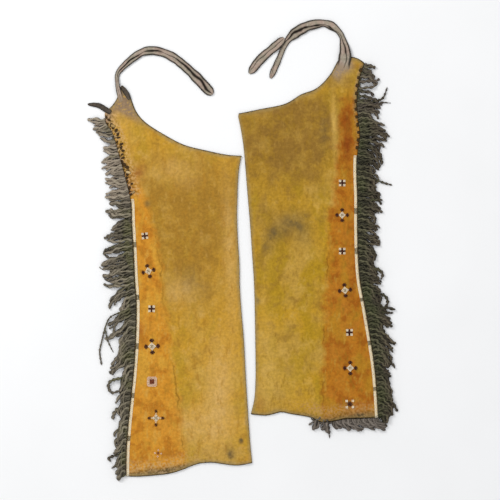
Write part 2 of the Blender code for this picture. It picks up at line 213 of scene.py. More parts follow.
left = Leg("left", leftSections, leftHem, leftWaist, -1)
right = Leg("right", rightSections, rightHem, rightWaist, 1)


# Materials

def linear(code):
    # a colour given as it looks on screen, as the renderer needs it
    parts = [int(code[spot:spot + 2], 16) / 255 for spot in (1, 3, 5)]
    made = [part / 12.92 if part <= 0.04045 else ((part + 0.055) / 1.055) ** 2.4 for part in parts]
    return (*made, 1.0)


def addNode(tree, kind, settings=None, links=None, output=0):
    # adds a node with its settings and links, and gives back its output
    node = tree.nodes.new(kind)
    for name, value in (settings or {}).items():
        if isinstance(name, str) and hasattr(node, name):
            setattr(node, name, value)
        else:
            node.inputs[name].default_value = value
    for name, source in (links or {}).items():
        tree.links.new(source, node.inputs[name])
    return node.outputs[output]


def makeMaterial(name, recipe, paint):
    # coats of colour laid over a first one, each through a soft step of a noise or of a value kept on the mesh
    made = bpy.data.materials.new(name)
    made.use_nodes = True
    tree = made.node_tree
    shader = tree.nodes["Principled BSDF"]
    for key, value in recipe["surface"].items():
        shader.inputs[key].default_value = value
    place = addNode(tree, "ShaderNodeTexCoord", output=3)
    values = {}
    for grain in recipe.get("grains", ()):
        scale = (1 / (mm * grain.size * grain.stretchX), 1 / (mm * grain.size * grain.stretchY), 1 / (mm * grain.size))
        scaled = addNode(tree, "ShaderNodeMapping", {"Scale": scale}, {"Vector": place})
        settings = {"Scale": 1.0, "Detail": grain.detail, "Roughness": grain.rough}
        values[grain.key] = addNode(tree, "ShaderNodeTexNoise", settings, {"Vector": scaled})
    for key in recipe.get("read", ()):
        values[key] = addNode(tree, "ShaderNodeAttribute", {"attribute_name": key}, output=2)
    for key, value, other, factor in recipe.get("sums", ()):
        settings = {"operation": "MULTIPLY_ADD", 1: factor}
        values[key] = addNode(tree, "ShaderNodeMath", settings, {0: values[other], 2: values[value]})
    colour = None
    for coat in recipe["coats"]:
        settings = {"interpolation_type": "SMOOTHSTEP", "From Min": coat.low, "From Max": coat.high,
                    "To Min": coat.least, "To Max": coat.most}
        mask = addNode(tree, "ShaderNodeMapRange", settings, {"Value": values[coat.source]})
        if coat.times:
            mask = addNode(tree, "ShaderNodeMath", {"operation": "MULTIPLY"}, {0: mask, 1: values[coat.times]})
        if coat.keep:
            values[coat.keep] = mask
        if coat.paint:
            settings = {"data_type": "RGBA", 6: linear(paint["main"]), 7: linear(paint[coat.paint])}
            colour = addNode(tree, "ShaderNodeMix", settings, {0: mask, **({6: colour} if colour else {})}, 2)
    for key in recipe.get("shades", ()):
        colour = addNode(tree, "ShaderNodeVectorMath", {"operation": "SCALE"}, {0: colour, "Scale": values[key]})
    tree.links.new(colour, shader.inputs["Base Color"])
    bump = {}
    for key, depth in recipe.get("bumps", ()):
        normal = addNode(tree, "ShaderNodeBump", {"Strength": 1.0, "Distance": depth * mm}, {"Height": values[key], **bump})
        bump = {"Normal": normal}
    if bump:
        tree.links.new(bump["Normal"], shader.inputs["Normal"])
    return made


# Brain-tanned deer hide rubbed with earth paint: matt, napped, blotched, bare at the hip, greyer tan near its edges and
# with a painted shade line along them
buckskin = {
    "surface": {"Roughness": 0.9, "Sheen Weight": 0.02, "Sheen Roughness": 0.5, "Specular IOR Level": 0.12},
    "grains": (
        Grain("cloud", 95, 2, 0.55), Grain("blotch", 34, 4, 0.6), Grain("patch", 60, 3, 0.6, 1.0, 1.9),
        Grain("fleck", 7, 4, 0.65), Grain("streak", 16, 4, 0.6, 0.7, 1.9), Grain("mottle", 5.5, 3, 0.6),
        Grain("nap", 1.7, 2, 0.55),
    ),
    "read": ("band", "bandFade", "rim", "deep", "pale", "rust", "grime", "bare", "frayed", "edgeLine"),
    "sums": (("bandEdge", "band", "blotch", 34.0), ("rimEdge", "rim", "blotch", 14.0), ("rimLine", "rim", "mottle", 6.0)),
    "coats": (
        Coat("tan", "cloud", 0.42, 0.62),
        Coat("olive", "patch", 0.46, 0.62, 0, 0.8),
        Coat("deep", "blotch", 0.52, 0.68, 0, 0.55),
        Coat("pale", "blotch", 0.46, 0.30, 0, 0.5),
        Coat(None, "blotch", 0.35, 0.65, 0.62, 1.22, keep="worn"),
        Coat("deep", "deep", 0, 1, times="worn"),
        Coat("pale", "pale", 0, 1, times="worn"),
        Coat("band", "bandEdge", 5, 29, 0, 0.86, "bandFade", "inBand"),
        Coat("bandDeep", "blotch", 0.47, 0.60, 0, 0.9, "inBand"),
        Coat("bandPale", "patch", 0.48, 0.62, 0, 0.85, "inBand"),
        Coat("bandPale", "streak", 0.46, 0.34, 0, 0.5, "inBand"),
        Coat("streak", "streak", 0.52, 0.70, 0, 0.55),
        Coat("pale", "streak", 0.44, 0.26, 0, 0.26),
        Coat("rust", "rust", 0, 1, times="worn"),
        Coat("grime", "grime", 0, 1, times="worn"),
        Coat("bare", "bare", 0, 1),
        Coat("tan", "mottle", 0.50, 0.66, 0, 0.6, "bare"),
        Coat(None, "patch", 0.48, 0.62, 0, 0.6, "bandFade", "lined"),
        Coat(None, "bandEdge", 20.5, 17.5, 0, 1, "lined", "lineEnd"),
        Coat("line", "bandEdge", 14.0, 17.0, 0, 1, "lineEnd", "onLine"),
        Coat("seamPale", "mottle", 0.50, 0.40, 0, 0.9, "frayed"),
        Coat("seamDark", "mottle", 0.49, 0.56, 0, 0.95, "frayed"),
        Coat("edgePale", "mottle", 0.60, 0.40, 0, 0.85, "edgeLine"),
        Coat("rimTan", "rimEdge", 19, 8, 0, 0.75),
        # painted shade: a dark line right along the edges and the fold
        Coat("rimDark", "rimLine", 6.6, 3.6, 0, 0.85),
        Coat("dot", "fleck", 0.66, 0.80, 0, 0.3),
        Coat(None, "fleck", 0.30, 0.70, 0.86, 1.13, keep="shade"),
    ),
    "shades": ("shade",),
    "bumps": (("patch", 1.6), ("blotch", 1.5), ("fleck", 0.6), ("streak", 0.8), ("mottle", 0.4), ("onLine", -0.7), ("nap", 0.22)),
}
# Smoked hide cut in thongs and twisted: dull, with painted shade down the sides of each thong and a painted highlight
# along its top, greyer where it is worn
thongHide = {
    "surface": {"Roughness": 0.86, "Sheen Weight": 0.03, "Sheen Roughness": 0.5, "Specular IOR Level": 0.2},
    "grains": (Grain("spot", 5, 3, 0.55), Grain("patch", 40, 2, 0.55)),
    "read": ("tone", "along", "grey", "ridge"),
    "coats": (
        Coat("middle", "tone", 0, 1),
        Coat(None, "along", 0, 1, 1, 0, keep="fromRoot"),
        Coat(None, "tone", 0, 1, 0.25, 0.95, keep="toneUp"),
        Coat("green", "patch", 0.44, 0.60, 0, 0.85, "fromRoot"),
        Coat("worn", "along", 0.2, 0.8, 0, 1, "toneUp"),
        Coat("aged", "grey", 0, 1, 0, 0.9),
        # painted highlight along the top of each thong, stronger on the upper layers
        Coat("dust", "ridge", 0.74, 1.0, 0, 0.55, "toneUp"),
        Coat("dust", "spot", 0.58, 0.78, 0, 0.4),
        Coat("black", "spot", 0.42, 0.25, 0, 0.5),
        # painted shade down the sides and under each thong
        Coat("black", "ridge", 0.80, 0.50, 0, 0.85),
    ),
    "bumps": (("spot", 0.6),),
}
# Soft hide rolled lengthwise: grey tan, with painted shade in the slit of the roll, along its sides and under it
tieHide = {
    "surface": {"Roughness": 0.8, "Sheen Weight": 0.03, "Sheen Roughness": 0.5, "Specular IOR Level": 0.2},
    "grains": (Grain("blotch", 24, 4, 0.6), Grain("fleck", 5, 3, 0.55)),
    "read": ("side", "slitAndUnderShade", "root"),
    "coats": (
        Coat("warm", "blotch", 0.4, 0.62),
        Coat("dim", "blotch", 0.54, 0.72, 0, 0.5),
        Coat("pale", "fleck", 0.54, 0.72, 0, 0.5),
        Coat("dim", "fleck", 0.46, 0.30, 0, 0.4),
        # painted shade in the slit of the roll and under it
        Coat("brown", "slitAndUnderShade", 0, 0.8, 0, 0.95),
        # painted shade along the sides of the roll
        Coat("black", "side", 0, 1, 0, 0.9),
        Coat("root", "root", 0, 1),
    ),
    "bumps": (("blotch", 0.7), ("fleck", 0.7)),
}
# Opaque glass seed beads: glossy, each a little off the next in shade
beadGlass = {
    "surface": {"Roughness": 0.32, "IOR": 1.5},
    "read": ("tone",),
    "coats": (Coat("other", "tone", 0, 1),),
}
# Rawhide strip under the lane's beads: matt cream
rawhide = {
    "surface": {"Roughness": 0.85},
    "grains": (Grain("cloud", 20, 2, 0.55),),
    "coats": (Coat("other", "cloud", 0, 1),),
}
# Mill board: matt white, next to no texture
millBoard = {
    "surface": {"Roughness": 0.9},
    "grains": (Grain("cloud", 300, 2, 0.55),),
    "coats": (Coat("other", "cloud", 0, 1),),
}

paints = {
    "left": {
        "main": "#C4942F", "tan": "#C39A43", "olive": "#B48D27", "deep": "#A1772A", "pale": "#D0A65C",
        "band": "#CE8A28", "bandDeep": "#B2701E", "bandPale": "#CF9C38", "streak": "#A87826",
        "rust": "#8F4A26", "grime": "#6E5A34", "bare": "#8E765C", "line": "#7C5814", "dot": "#876527",
        "rimTan": "#9A8456", "rimDark": "#33291B", "seamDark": "#54402A", "seamPale": "#B4967A", "edgePale": "#C7A066",
    },
    "right": {
        "main": "#BC9027", "tan": "#B8913C", "olive": "#AA861C", "deep": "#8E6A2A", "pale": "#C9A250",
        "band": "#B26C1A", "bandDeep": "#9C5812", "bandPale": "#B08022", "streak": "#96701E",
        "rust": "#84400F", "grime": "#645638", "bare": "#988470", "line": "#7A4C0E", "dot": "#785C24",
        "rimTan": "#968052", "rimDark": "#2C2217", "seamDark": "#4E3820", "seamPale": "#A9824E", "edgePale": "#B68A55",
    },
}
thongTones = {
    "left": {"main": "#2A261D", "middle": "#6C644E", "green": "#57562F", "worn": "#7E7264", "dust": "#ABA28B",
             "aged": "#A09180", "black": "#13110C"},
    "right": {"main": "#1E1D15", "middle": "#47452F", "green": "#3E4424", "worn": "#5A4942", "dust": "#858063",
              "aged": "#6E6058", "black": "#0F0E0A"},
    "hem": {"main": "#2F2B25", "middle": "#5A5146", "green": "#4A4637", "worn": "#756B62", "dust": "#968D82",
            "aged": "#756B62", "black": "#171410"},
    "dark": {"main": "#201D19", "middle": "#463D34", "green": "#3C342A", "worn": "#5A4C42", "dust": "#7E7062",
             "aged": "#5A4C42", "black": "#0F0D0A"},
    # the colours of the painted shade in the lacing holes
    "notch": {"main": "#3A2814", "middle": "#4C3519", "green": "#44300F", "worn": "#553D1E", "dust": "#5C4426",
              "aged": "#553D1E", "black": "#1E1408"},
}
laceTones = {"main": "#8A6C3E", "middle": "#BC9E6C", "green": "#A88A50", "worn": "#C9AE80", "dust": "#D6C096",
             "aged": "#C9AE80", "black": "#4A3618"}
tieTones = {"main": "#9A907E", "warm": "#AD9788", "dim": "#746656", "pale": "#C6B9AA", "brown": "#221810", "black": "#17130E",
            "root": "#9C866C"}
glasses = {
    "w": ("creamSeedBeads", "#FFF8E2", "#FFEAC0"),
    "o": ("greyedSeedBeads", "#8F8A66", "#6F6A4C"),
    "d": ("darkRedSeedBeads", "#3A0E08", "#4E1C10"),
    "b": ("dullBrownSeedBeads", "#6A5230", "#7E6640"),
    "g": ("greenSeedBeads", "#53523A", "#6E6A4C"),
    "r": ("redSeedBeads", "#7A3220", "#8E4428"),
    "p": ("pinkSeedBeads", "#F8DCC0", "#EAC2A0"),
}
hideFinishes = {
    "left": makeMaterial("paintedBuckskinLeft", buckskin, paints["left"]),
    "right": makeMaterial("paintedBuckskinRight", buckskin, paints["right"]),
}
thongFinishes = {
    "left": makeMaterial("smokedThongHideLeft", thongHide, thongTones["left"]),
    "right": makeMaterial("smokedThongHideRight", thongHide, thongTones["right"]),
    "hem": makeMaterial("smokedThongHideHem", thongHide, thongTones["hem"]),
    "dark": makeMaterial("greasedDarkHide", thongHide, thongTones["dark"]),
    "notch": makeMaterial("shadedSeamHide", thongHide, thongTones["notch"]),
}
laceFinish = makeMaterial("paleLacingHide", thongHide, laceTones)
tieFinish = makeMaterial("smokedTieHide", tieHide, tieTones)
rawhideFinish = makeMaterial("rawhideBacking", rawhide, {"main": "#F4E6C8", "other": "#E6D2A8"})
beadFinishes = {
    letter: makeMaterial(name, beadGlass, {"main": code, "other": other}) for letter, (name, code, other) in glasses.items()
}
print("materials made")


# Mesh makers

def keepMesh(name, mesh, finishes, replaced=()):
    made = bpy.data.objects.new(name, mesh)
    bpy.context.scene.collection.objects.link(made)
    for finish in finishes:
        mesh.materials.append(finish)
    for face in mesh.polygons:
        face.use_smooth = True
    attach(made, "root")
    if replaced:
        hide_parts(*replaced)
    return made


def setValues(mesh, values):
    for name, numbers in values.items():
        layer = mesh.attributes.new(name, "FLOAT", "POINT")
        layer.data.foreach_set("value", np.asarray(numbers, np.float32))


def gridMesh(name, places, values, flip):
    # a grid of faces through rows and columns of places
    rows, columns = places.shape[:2]
    bm = bmesh.new()
    bmesh.ops.create_grid(bm, x_segments=columns - 1, y_segments=rows - 1, size=0.5)
    if flip:
        bmesh.ops.reverse_faces(bm, faces=bm.faces)
    mesh = bpy.data.meshes.new(name)
    bm.to_mesh(mesh)
    bm.free()
    flat = np.zeros(rows * columns * 3)
    mesh.vertices.foreach_get("co", flat)
    flat = flat.reshape(-1, 3)
    column = np.rint((flat[:, 0] + 0.5) * (columns - 1)).astype(int)
    row = np.rint((flat[:, 1] + 0.5) * (rows - 1)).astype(int)
    mesh.vertices.foreach_set("co", (places[row, column] * mm).ravel())
    setValues(mesh, {key: numbers[row, column] for key, numbers in values.items()})
    mesh.update()
    return mesh


floorGap = 0.15


def tubeMesh(name, tubes, sides):
    # many tubes in one mesh, each a dictionary of points, widths, heights, turns and point values
    corners = []
    faces = []
    ridges = []
    values = {}
    start = 0
    angles = np.arange(sides) * 2 * np.pi / sides
    for tube in tubes:
        points = tube["points"]
        count = len(points)
        run = np.gradient(points, axis=0)
        run /= np.maximum(np.linalg.norm(run, axis=1), 1e-6)[:, None]
        side = np.cross(run, (0.0, 0.0, 1.0))
        side /= np.maximum(np.linalg.norm(side, axis=1), 1e-6)[:, None]
        lift = np.cross(side, run)
        flatX = np.cos(angles)[None, :] * tube["widths"][:, None] / 2
        flatY = np.sin(angles)[None, :] * tube["heights"][:, None] / 2
        turn = tube["turns"][:, None]
        turnedX = flatX * np.cos(turn) - flatY * np.sin(turn)
        turnedY = flatX * np.sin(turn) + flatY * np.cos(turn)
        ring = points[:, None, :] + side[:, None, :] * turnedX[..., None] + lift[:, None, :] * turnedY[..., None]
        ring[..., 2] += np.maximum(floorGap - ring[..., 2].min(axis=1), 0)[:, None]
        level = ring[..., 2] - ring[..., 2].min(axis=1)[:, None]
        # height of each point round its tube, 0 underneath to 1 on top, for a painted highlight on top and painted
        # shade at the sides
        ridges.append((level / np.maximum(level.max(axis=1), 1e-6)[:, None]).ravel())
        corners.append(ring.reshape(-1, 3))
        for row in range(count - 1):
            low = start + row * sides
            for spot in range(sides):
                after = (spot + 1) % sides
                faces.append((low + spot, low + after, low + sides + after, low + sides + spot))
        faces.append(tuple(range(start + sides - 1, start - 1, -1)))
        top = start + (count - 1) * sides
        faces.append(tuple(range(top, top + sides)))
        for key, numbers in tube["values"].items():
            values.setdefault(key, []).append(np.repeat(numbers, sides))
        start += count * sides
    mesh = bpy.data.meshes.new(name)
    mesh.from_pydata((np.concatenate(corners) * mm).tolist(), [], faces)
    setValues(mesh, {key: np.concatenate(numbers) for key, numbers in {**values, "ridge": ridges}.items()})
    mesh.update()
    bm = bmesh.new()
    bm.from_mesh(mesh)
    bmesh.ops.recalc_face_normals(bm, faces=bm.faces)
    bm.to_mesh(mesh)
    bm.free()
    return mesh


# Hides

hideSizes = {
    "thickness": 1.8,
    "rowStep": 4.2,
    "frontStep": 4.2,
    "backStep": 9.0,
    "foldRadius": 1.7,
    "foldSteps": 7,
    "lift": 2.0,
    "seamFlat": 12.0,
    "easeWidth": 34.0,
    "backShows": 3.0,
    "ragged": 2.0,
    "relaxWidth": 34.0,
    "relaxRounds": 60,
    "shoulder": 338.0,
    "leftSeam": 17.0,
    "rightSeam": 7.0,
    "hemFray": 12.0,
    "hemPale": 25.0,
    "hemPaleSpread": 13.0,
}
peaks = {"left": (-297, 281), "right": (268, 462)}
leftCreases = (
    Crease(-129, 99, -89, 44, -76, -34, -1.6, 8),
    Crease(-138, 82, -103, 36, -90, -40, 1.5, 11),
    Crease(-76, -34, -72, -90, -78, -150, -1.2, 9),
    Crease(-200, 120, -150, 150, -60, 140, 1.6, 16),
    Crease(-194, -434, -136, -436, -111, -449, -1.1, 5),
    Crease(-161, -346, -160, -390, -158, -421, -1.0, 5),
    Crease(-300, 300, -250, 250, -190, 215, 1.6, 15),
    Crease(-290, 250, -262, 215, -240, 150, -1.3, 9),
    Crease(-60, 200, -45, 100, -50, 0, 1.3, 13),
    Crease(-120, -200, -90, -290, -95, -380, 1.6, 20),
    Crease(-60, -180, -45, -300, -30, -440, -1.0, 10),
    Crease(-210, -490, -120, -500, -30, -480, 1.4, 14),
    Crease(-250, -470, -200, -500, -150, -520, -1.0, 9),
    Crease(-150, 20, -145, -120, -130, -220, -1.1, 12),
)
rightCreases = (
    Crease(232, 400, 226, 260, 228, 120, 1.9, 11),
    Crease(214, 380, 212, 260, 210, 130, -1.4, 9),
    Crease(20, 222, 90, 224, 170, 215, -1.2, 8),
    Crease(20, 236, 90, 242, 175, 240, 1.1, 12),
    Crease(60, 180, 70, 60, 62, -80, 1.5, 16),
    Crease(110, 140, 118, 20, 112, -110, -1.2, 11),
    Crease(160, 90, 150, -60, 158, -210, 1.3, 15),
    Crease(60, -200, 80, -280, 75, -360, 1.4, 17),
    Crease(130, -240, 120, -320, 125, -390, -1.2, 10),
    Crease(240, -330, 270, -365, 320, -385, 1.0, 9),
    Crease(205, -345, 225, -380, 250, -400, -1.0, 7),
    Crease(140, 350, 170, 330, 205, 340, 1.2, 12),
    Crease(45, 300, 90, 285, 130, 300, -0.9, 9),
    Crease(250, 330, 262, 290, 258, 240, -0.9, 6),
)
leftStains = (
    Stain("bare", -302, 392, 34, 44, 0.3, 1.7),
    Stain("deep", -232, 110, 24, 50, 0.0, 0.45),
    Stain("pale", -160, -450, 150, 80, 0.0, 0.3),
    Stain("bare", -335, 340, 14, 30, 0.0, 0.7),
    Stain("bare", -272, 345, 16, 40, 0.7, 0.6),
    Stain("deep", -140, 60, 190, 230, 0.0, 0.85),
    Stain("deep", -120, 90, 70, 60, 0.4, 0.5),
    Stain("deep", -80, 150, 80, 36, 0.1, 0.5),
    Stain("grime", -238, 119, 9, 9, 0.0, 1.0),
    Stain("grime", -130, -60, 60, 34, 0.5, 0.35),
    Stain("grime", -110, -110, 46, 40, 0.0, 0.3),
    Stain("pale", -150, -95, 50, 40, 0.3, 0.7),
    Stain("pale", -60, -330, 34, 130, 0.0, 0.75),
    Stain("pale", -30, 0, 20, 200, 0.05, 0.6),
    Stain("pale", -110, -430, 90, 50, 0.0, 0.4),
    Stain("pale", -160, 200, 60, 40, -0.4, 0.5),
    Stain("rust", -258, 200, 20, 30, 0.0, 0.55),
    Stain("rust", -255, -190, 20, 22, 0.0, 0.45),
    Stain("rust", -150, -480, 20, 22, 0.0, 0.3),
    Stain("grime", -235, -556, 60, 13, 0.08, 1.1),
    Stain("grime", -160, -540, 40, 9, 0.25, 0.8),
    Stain("grime", -29, -508, 9, 12, 0.1, 0.8),
    Stain("grime", -4, -473, 5, 6, 0.0, 1.6),
    Stain("grime", -20, -500, 60, 20, 0.0, 0.25),
    Stain("rust", -4, -473, 10, 10, 0.0, 0.2),
)
rightStains = (
    Stain("bare", 250, 468, 26, 24, 0.2, 1.2),
    Stain("bare", 232, 445, 13, 32, 0.5, 0.5),
    Stain("bare", 50, 350, 60, 14, 0.2, 0.2),
    Stain("rust", 284, 464, 22, 12, -0.3, 0.4),
    Stain("deep", 120, 290, 170, 130, 0.3, 1.1),
    Stain("deep", 90, 60, 90, 60, 0.0, 0.5),
    # two long pale stripes: painted highlight along the soft ridge of the crease at x about 230
    Stain("pale", 229, 330, 9, 90, 0.03, 0.75),
    Stain("pale", 234, 200, 8, 90, -0.05, 0.5),
    Stain("rust", 262, 320, 18, 60, 0.0, 0.6),
    Stain("rust", 262, 250, 16, 40, 0.0, 0.5),
    Stain("rust", 278, -60, 10, 90, 0.0, 0.35),
    Stain("grime", 130, 82, 34, 26, 0.3, 0.45),
    Stain("grime", 85, 48, 30, 22, 0.6, 0.45),
    Stain("grime", 62, 15, 22, 26, 0.0, 0.4),
    Stain("grime", 155, 48, 28, 30, 0.0, 0.4),
    Stain("grime", 38, -124, 7, 9, 0.0, 0.9),
    Stain("grime", 205, 300, 18, 50, 0.0, 0.4),
    Stain("grime", 110, 60, 90, 60, 0.2, 0.15),
    Stain("pale", 60, -250, 30, 130, 0.0, 0.5),
    Stain("pale", 100, -330, 60, 80, 0.0, 0.45),
    Stain("grime", 300, -410, 60, 14, 0.0, 0.8),
    Stain("grime", 190, -420, 80, 10, -0.1, 0.6),
    Stain("rust", 45, -380, 14, 26, 0.2, 0.4),
    Stain("pale", 270, -394, 60, 3.5, 0.03, 0.9),
)
leftBand = ((196, -265), (149, -246), (119, -234), (56, -221), (-1, -211), (-49, -201), (-96, -200), (-144, -195),
            (-194, -185), (-264, -179), (-311, -169), (-351, -165), (-424, -156), (-466, -150), (-514, -141), (-570, -136))
rightBand = ((490, 262), (341, 246), (309, 243), (261, 240), (214, 233), (151, 229), (126, 224), (62, 217), (-1, 213),
             (-49, 211), (-114, 206), (-196, 204), (-269, 203), (-334, 201), (-430, 203))
bandFades = {"left": (150, 215), "right": (330, 430)}
hideLooks = {
    "left": (leftCreases, leftStains, leftBand),
    "right": (rightCreases, rightStains, rightBand),
}
# soft ridges of the back layer, which the photo hides
backCreases = {
    "left": (
        Crease(-250, 180, -170, 120, -60, 90, 1.0, 14), Crease(-230, 40, -190, -60, -200, -170, 1.2, 17),
        Crease(-90, 20, -110, -90, -100, -200, 0.9, 13), Crease(-240, -260, -150, -300, -40, -280, 1.1, 18),
        Crease(-190, -340, -170, -420, -185, -500, 0.8, 12), Crease(-280, 320, -240, 270, -230, 220, 0.9, 13),
    ),
    "right": (
        Crease(60, 290, 120, 250, 230, 260, 1.0, 15), Crease(220, 400, 200, 320, 205, 230, 0.9, 13),
        Crease(110, 160, 90, 60, 105, -60, 1.2, 17), Crease(230, 90, 220, -40, 235, -150, 0.9, 14),
        Crease(80, -180, 170, -220, 290, -210, 1.1, 18), Crease(150, -270, 140, -330, 155, -385, 0.8, 12),
    ),
}
hipSpans = {"left": (139, 346), "right": (256, 470)}
hemFrays = {"left": (-90, -190, 0.35), "right": (90, 190, 0.35)}
# pale line inside the hip seam: middle and spread, mm from the edge
seamPales = {"left": (20.0, 8.0), "right": (7.5, 2.0)}


def creaseHeights(points, creases):
    total = np.zeros(len(points))
    for crease in creases:
        path = [(crease.x1, crease.y1), (crease.x2, crease.y2), (crease.x3, crease.y3)]
        away, share = distanceTo(points, smoothLine(path, 14))
        taper = np.sqrt(np.sin(np.pi * np.clip(share, 0.0, 1.0)))
        total += crease.height * np.exp(-((away / crease.width) ** 2)) * taper
    return total


def stainValues(points, stains, kind):
    total = np.zeros(len(points))
    for stain in stains:
        if stain.kind == kind:
            away = points - (stain.x, stain.y)
            x = away[:, 0] * math.cos(stain.turn) + away[:, 1] * math.sin(stain.turn)
            y = away[:, 1] * math.cos(stain.turn) - away[:, 0] * math.sin(stain.turn)
            total += stain.strength * np.exp(-((x / stain.wide) ** 2 + (y / stain.tall) ** 2))
    return np.minimum(total, 1.0)


def relaxed(plan, peak):
    # evens out the mesh where it is crowded near the hip peak, its edges held
    sizes = hideSizes
    away = np.linalg.norm(plan - peak, axis=2)[1:-1, 1:-1, None]
    pull = np.exp(-((away / sizes["relaxWidth"]) ** 2))
    for _ in range(sizes["relaxRounds"]):
        around = plan[:-2, 1:-1] + plan[2:, 1:-1] + plan[1:-1, :-2] + plan[1:-1, 2:]
        plan[1:-1, 1:-1] += (around / 4 - plan[1:-1, 1:-1]) * pull
    return plan


def foldedHide(leg):
    # one hide: back layer from the outer seam, round the fold at the inner leg, front layer back to the seam
    sizes = hideSizes
    creases, stains, band = hideLooks[leg.name]
    half = sizes["thickness"] / 2
    radius = sizes["foldRadius"]
    rows = int(leg.length / sizes["rowStep"])
    ups = np.linspace(0, 1, rows)
    widths = leg.width(ups)[:, None]
    widest = widths.max()
    flatEnd = 1 - (half + radius) / widths
    backShares = np.linspace(0, 1, int(widest / sizes["backStep"]))[None, :] * flatEnd
    frontShares = np.linspace(1, 0, int(widest / sizes["frontStep"]))[None, :] * flatEnd
    turns = np.linspace(-math.pi / 2, math.pi / 2, sizes["foldSteps"] + 2)[1:-1]
    rollShares = 1 - (half + radius - radius * np.cos(turns))[None, :] / widths
    shares = np.concatenate([backShares, rollShares, frontShares], axis=1)
    count = shares.shape[1]
    backCount = backShares.shape[1]
    rollCount = len(turns)
    inFront = np.concatenate([np.zeros(backCount), (np.sin(turns) + 1) / 2, np.ones(count - backCount - rollCount)])
    shows = sizes["backShows"] / leg.length
    upGrid = ups[:, None] * (1 - 2 * shows * inFront[None, :]) + shows * inFront[None, :]
    plan = leg.at(shares.ravel(), upGrid.ravel())
    plan = relaxed(plan.reshape(rows, count, 2), peaks[leg.name]).reshape(-1, 2)

    hemLine = leg.at(np.linspace(0, 1, 90), np.zeros(90))
    waistLine = leg.at(np.linspace(0, 1, 90), np.ones(90))
    seamLine = leg.edge(150)
    foldLine = leg.at(np.ones(90), np.linspace(0, 1, 90))
    fromHem = distanceTo(plan, hemLine)[0]
    fromWaist = distanceTo(plan, waistLine)[0]
    fromSeam = distanceTo(plan, seamLine)[0]
    fromFold = distanceTo(plan, foldLine)[0]

    ease = smoothStep((fromSeam - sizes["seamFlat"]) / sizes["easeWidth"])
    ease *= smoothStep(fromFold / 30) * 0.8 + 0.2
    ease *= smoothStep(fromHem / 24) * 0.75 + 0.25
    ease *= smoothStep(fromWaist / 24) * 0.75 + 0.25
    uneven = noiseAt(plan, 85, 1) * 1.3 + noiseAt(plan, 30, 2) * 0.55
    bulge = np.maximum(sizes["lift"] + creaseHeights(plan, creases) + uneven, 0.05) * ease
    front = 3.0 + bulge + 2.2 * np.exp(-((fromFold / 15) ** 2)) * smoothStep((fromSeam - 12) / 30)
    top = half + 2 * radius
    layer = np.tile(inFront, rows)
    ridges = np.minimum(np.maximum(creaseHeights(plan, backCreases[leg.name]), 0) * ease, bulge * 0.8)
    levels = np.where(layer >= 1, np.maximum(front, 3.0), half + ridges)
    rolled = (layer > 0) & (layer < 1)
    levels = np.where(rolled, half + radius + radius * (2 * layer - 1), levels)
    settle = np.exp(-(((fromFold - half - radius) / 7) ** 2))
    levels = np.where(layer >= 1, levels * (1 - settle) + top * settle, levels)

    ragged = noiseAt(plan, 5, 3) * sizes["ragged"]
    plan[:, 1] += ragged * np.exp(-((np.minimum(fromHem, fromWaist * 3) / 5) ** 2)) * layer
    places = np.concatenate([plan, levels[:, None]], axis=1).reshape(rows, count, 3)

    ordered = sorted(band)
    boundary = np.interp(plan[:, 1], [row[0] for row in ordered], [row[1] for row in ordered])
    low, high = bandFades[leg.name]
    values = {kind: stainValues(plan, stains, kind) for kind in ("deep", "pale", "rust", "grime", "bare")}
    values["band"] = (plan[:, 0] - boundary) * leg.outward
    values["bandFade"] = 1 - smoothStep((plan[:, 1] - low) / (high - low))
    shoulder = fromSeam + 40 * (1 - smoothStep((plan[:, 1] - sizes["shoulder"]) / 12))
    # distance to the nearest edge, for the greyer rim and the painted shade line along the edges
    values["rim"] = np.minimum(np.minimum(np.minimum(fromHem, fromWaist), fromFold + 1.5), shoulder)
    low, high = hipSpans[leg.name]
    atHip = smoothStep((plan[:, 1] - low + 12) / 24) * smoothStep((high + 6 - plan[:, 1]) / 12)
    start, end, least = hemFrays[leg.name]
    atHem = least + (1 - least) * smoothStep((plan[:, 0] - start) / (end - start))
    hemFray = atHem * np.exp(-((fromHem / sizes["hemFray"]) ** 2))
    hemPale = atHem**2 * np.exp(-(((fromHem - sizes["hemPale"]) / sizes["hemPaleSpread"]) ** 2))
    values["frayed"] = np.maximum(hemFray, atHip * np.exp(-((fromSeam / sizes[f"{leg.name}Seam"]) ** 2)))
    place, spread = seamPales[leg.name]
    values["edgeLine"] = np.maximum(hemPale, atHip * np.exp(-(((fromSeam - place) / spread) ** 2)))
    shaped = {key: numbers.reshape(rows, count) for key, numbers in values.items()}
    mesh = gridMesh(f"{leg.name}Hide", places, shaped, leg.outward < 0)
    nodes = (f"{leg.name}_front_panel", f"{leg.name}_back_panel")
    made = keepMesh(f"{leg.name}Hide", mesh, [hideFinishes[leg.name]], nodes)
    wall = made.modifiers.new("hide thickness", "SOLIDIFY")
    wall.thickness = sizes["thickness"] * mm
    wall.offset = 0.0
    return made


hides = {leg.name: foldedHide(leg) for leg in (left, right)}
bpy.context.view_layer.update()
shown = bpy.context.evaluated_depsgraph_get()
surfaces = {name: BVHTree.FromObject(hide, shown) for name, hide in hides.items()}
print("hides folded")


def seat(name, x, y):
    # the level of a hide's top surface at a place
    hit = surfaces[name].ray_cast(Vector((x * mm, y * mm, 0.1)), Vector((0, 0, -1)))[0]
    return hit.z / mm if hit else 3.9


# Beads

beadSizes = {"wide": 1.72, "rowStep": 1.85, "across": 5, "laneInset": 0.3, "hole": 0.28, "sides": 8, "profile": 5,
             "stripWidth": 6.6, "stripHeight": 1.0}
laneTops = {"left": 131, "right": 240}
laneBars = {
    "left": ((17, 6), (-115, 6), (-236, 8), (-359, 6), (-466, 7)),
    "right": ((101, 7), (1, 7), (-119, 4), (-228, 5), (-343, 5)),
}
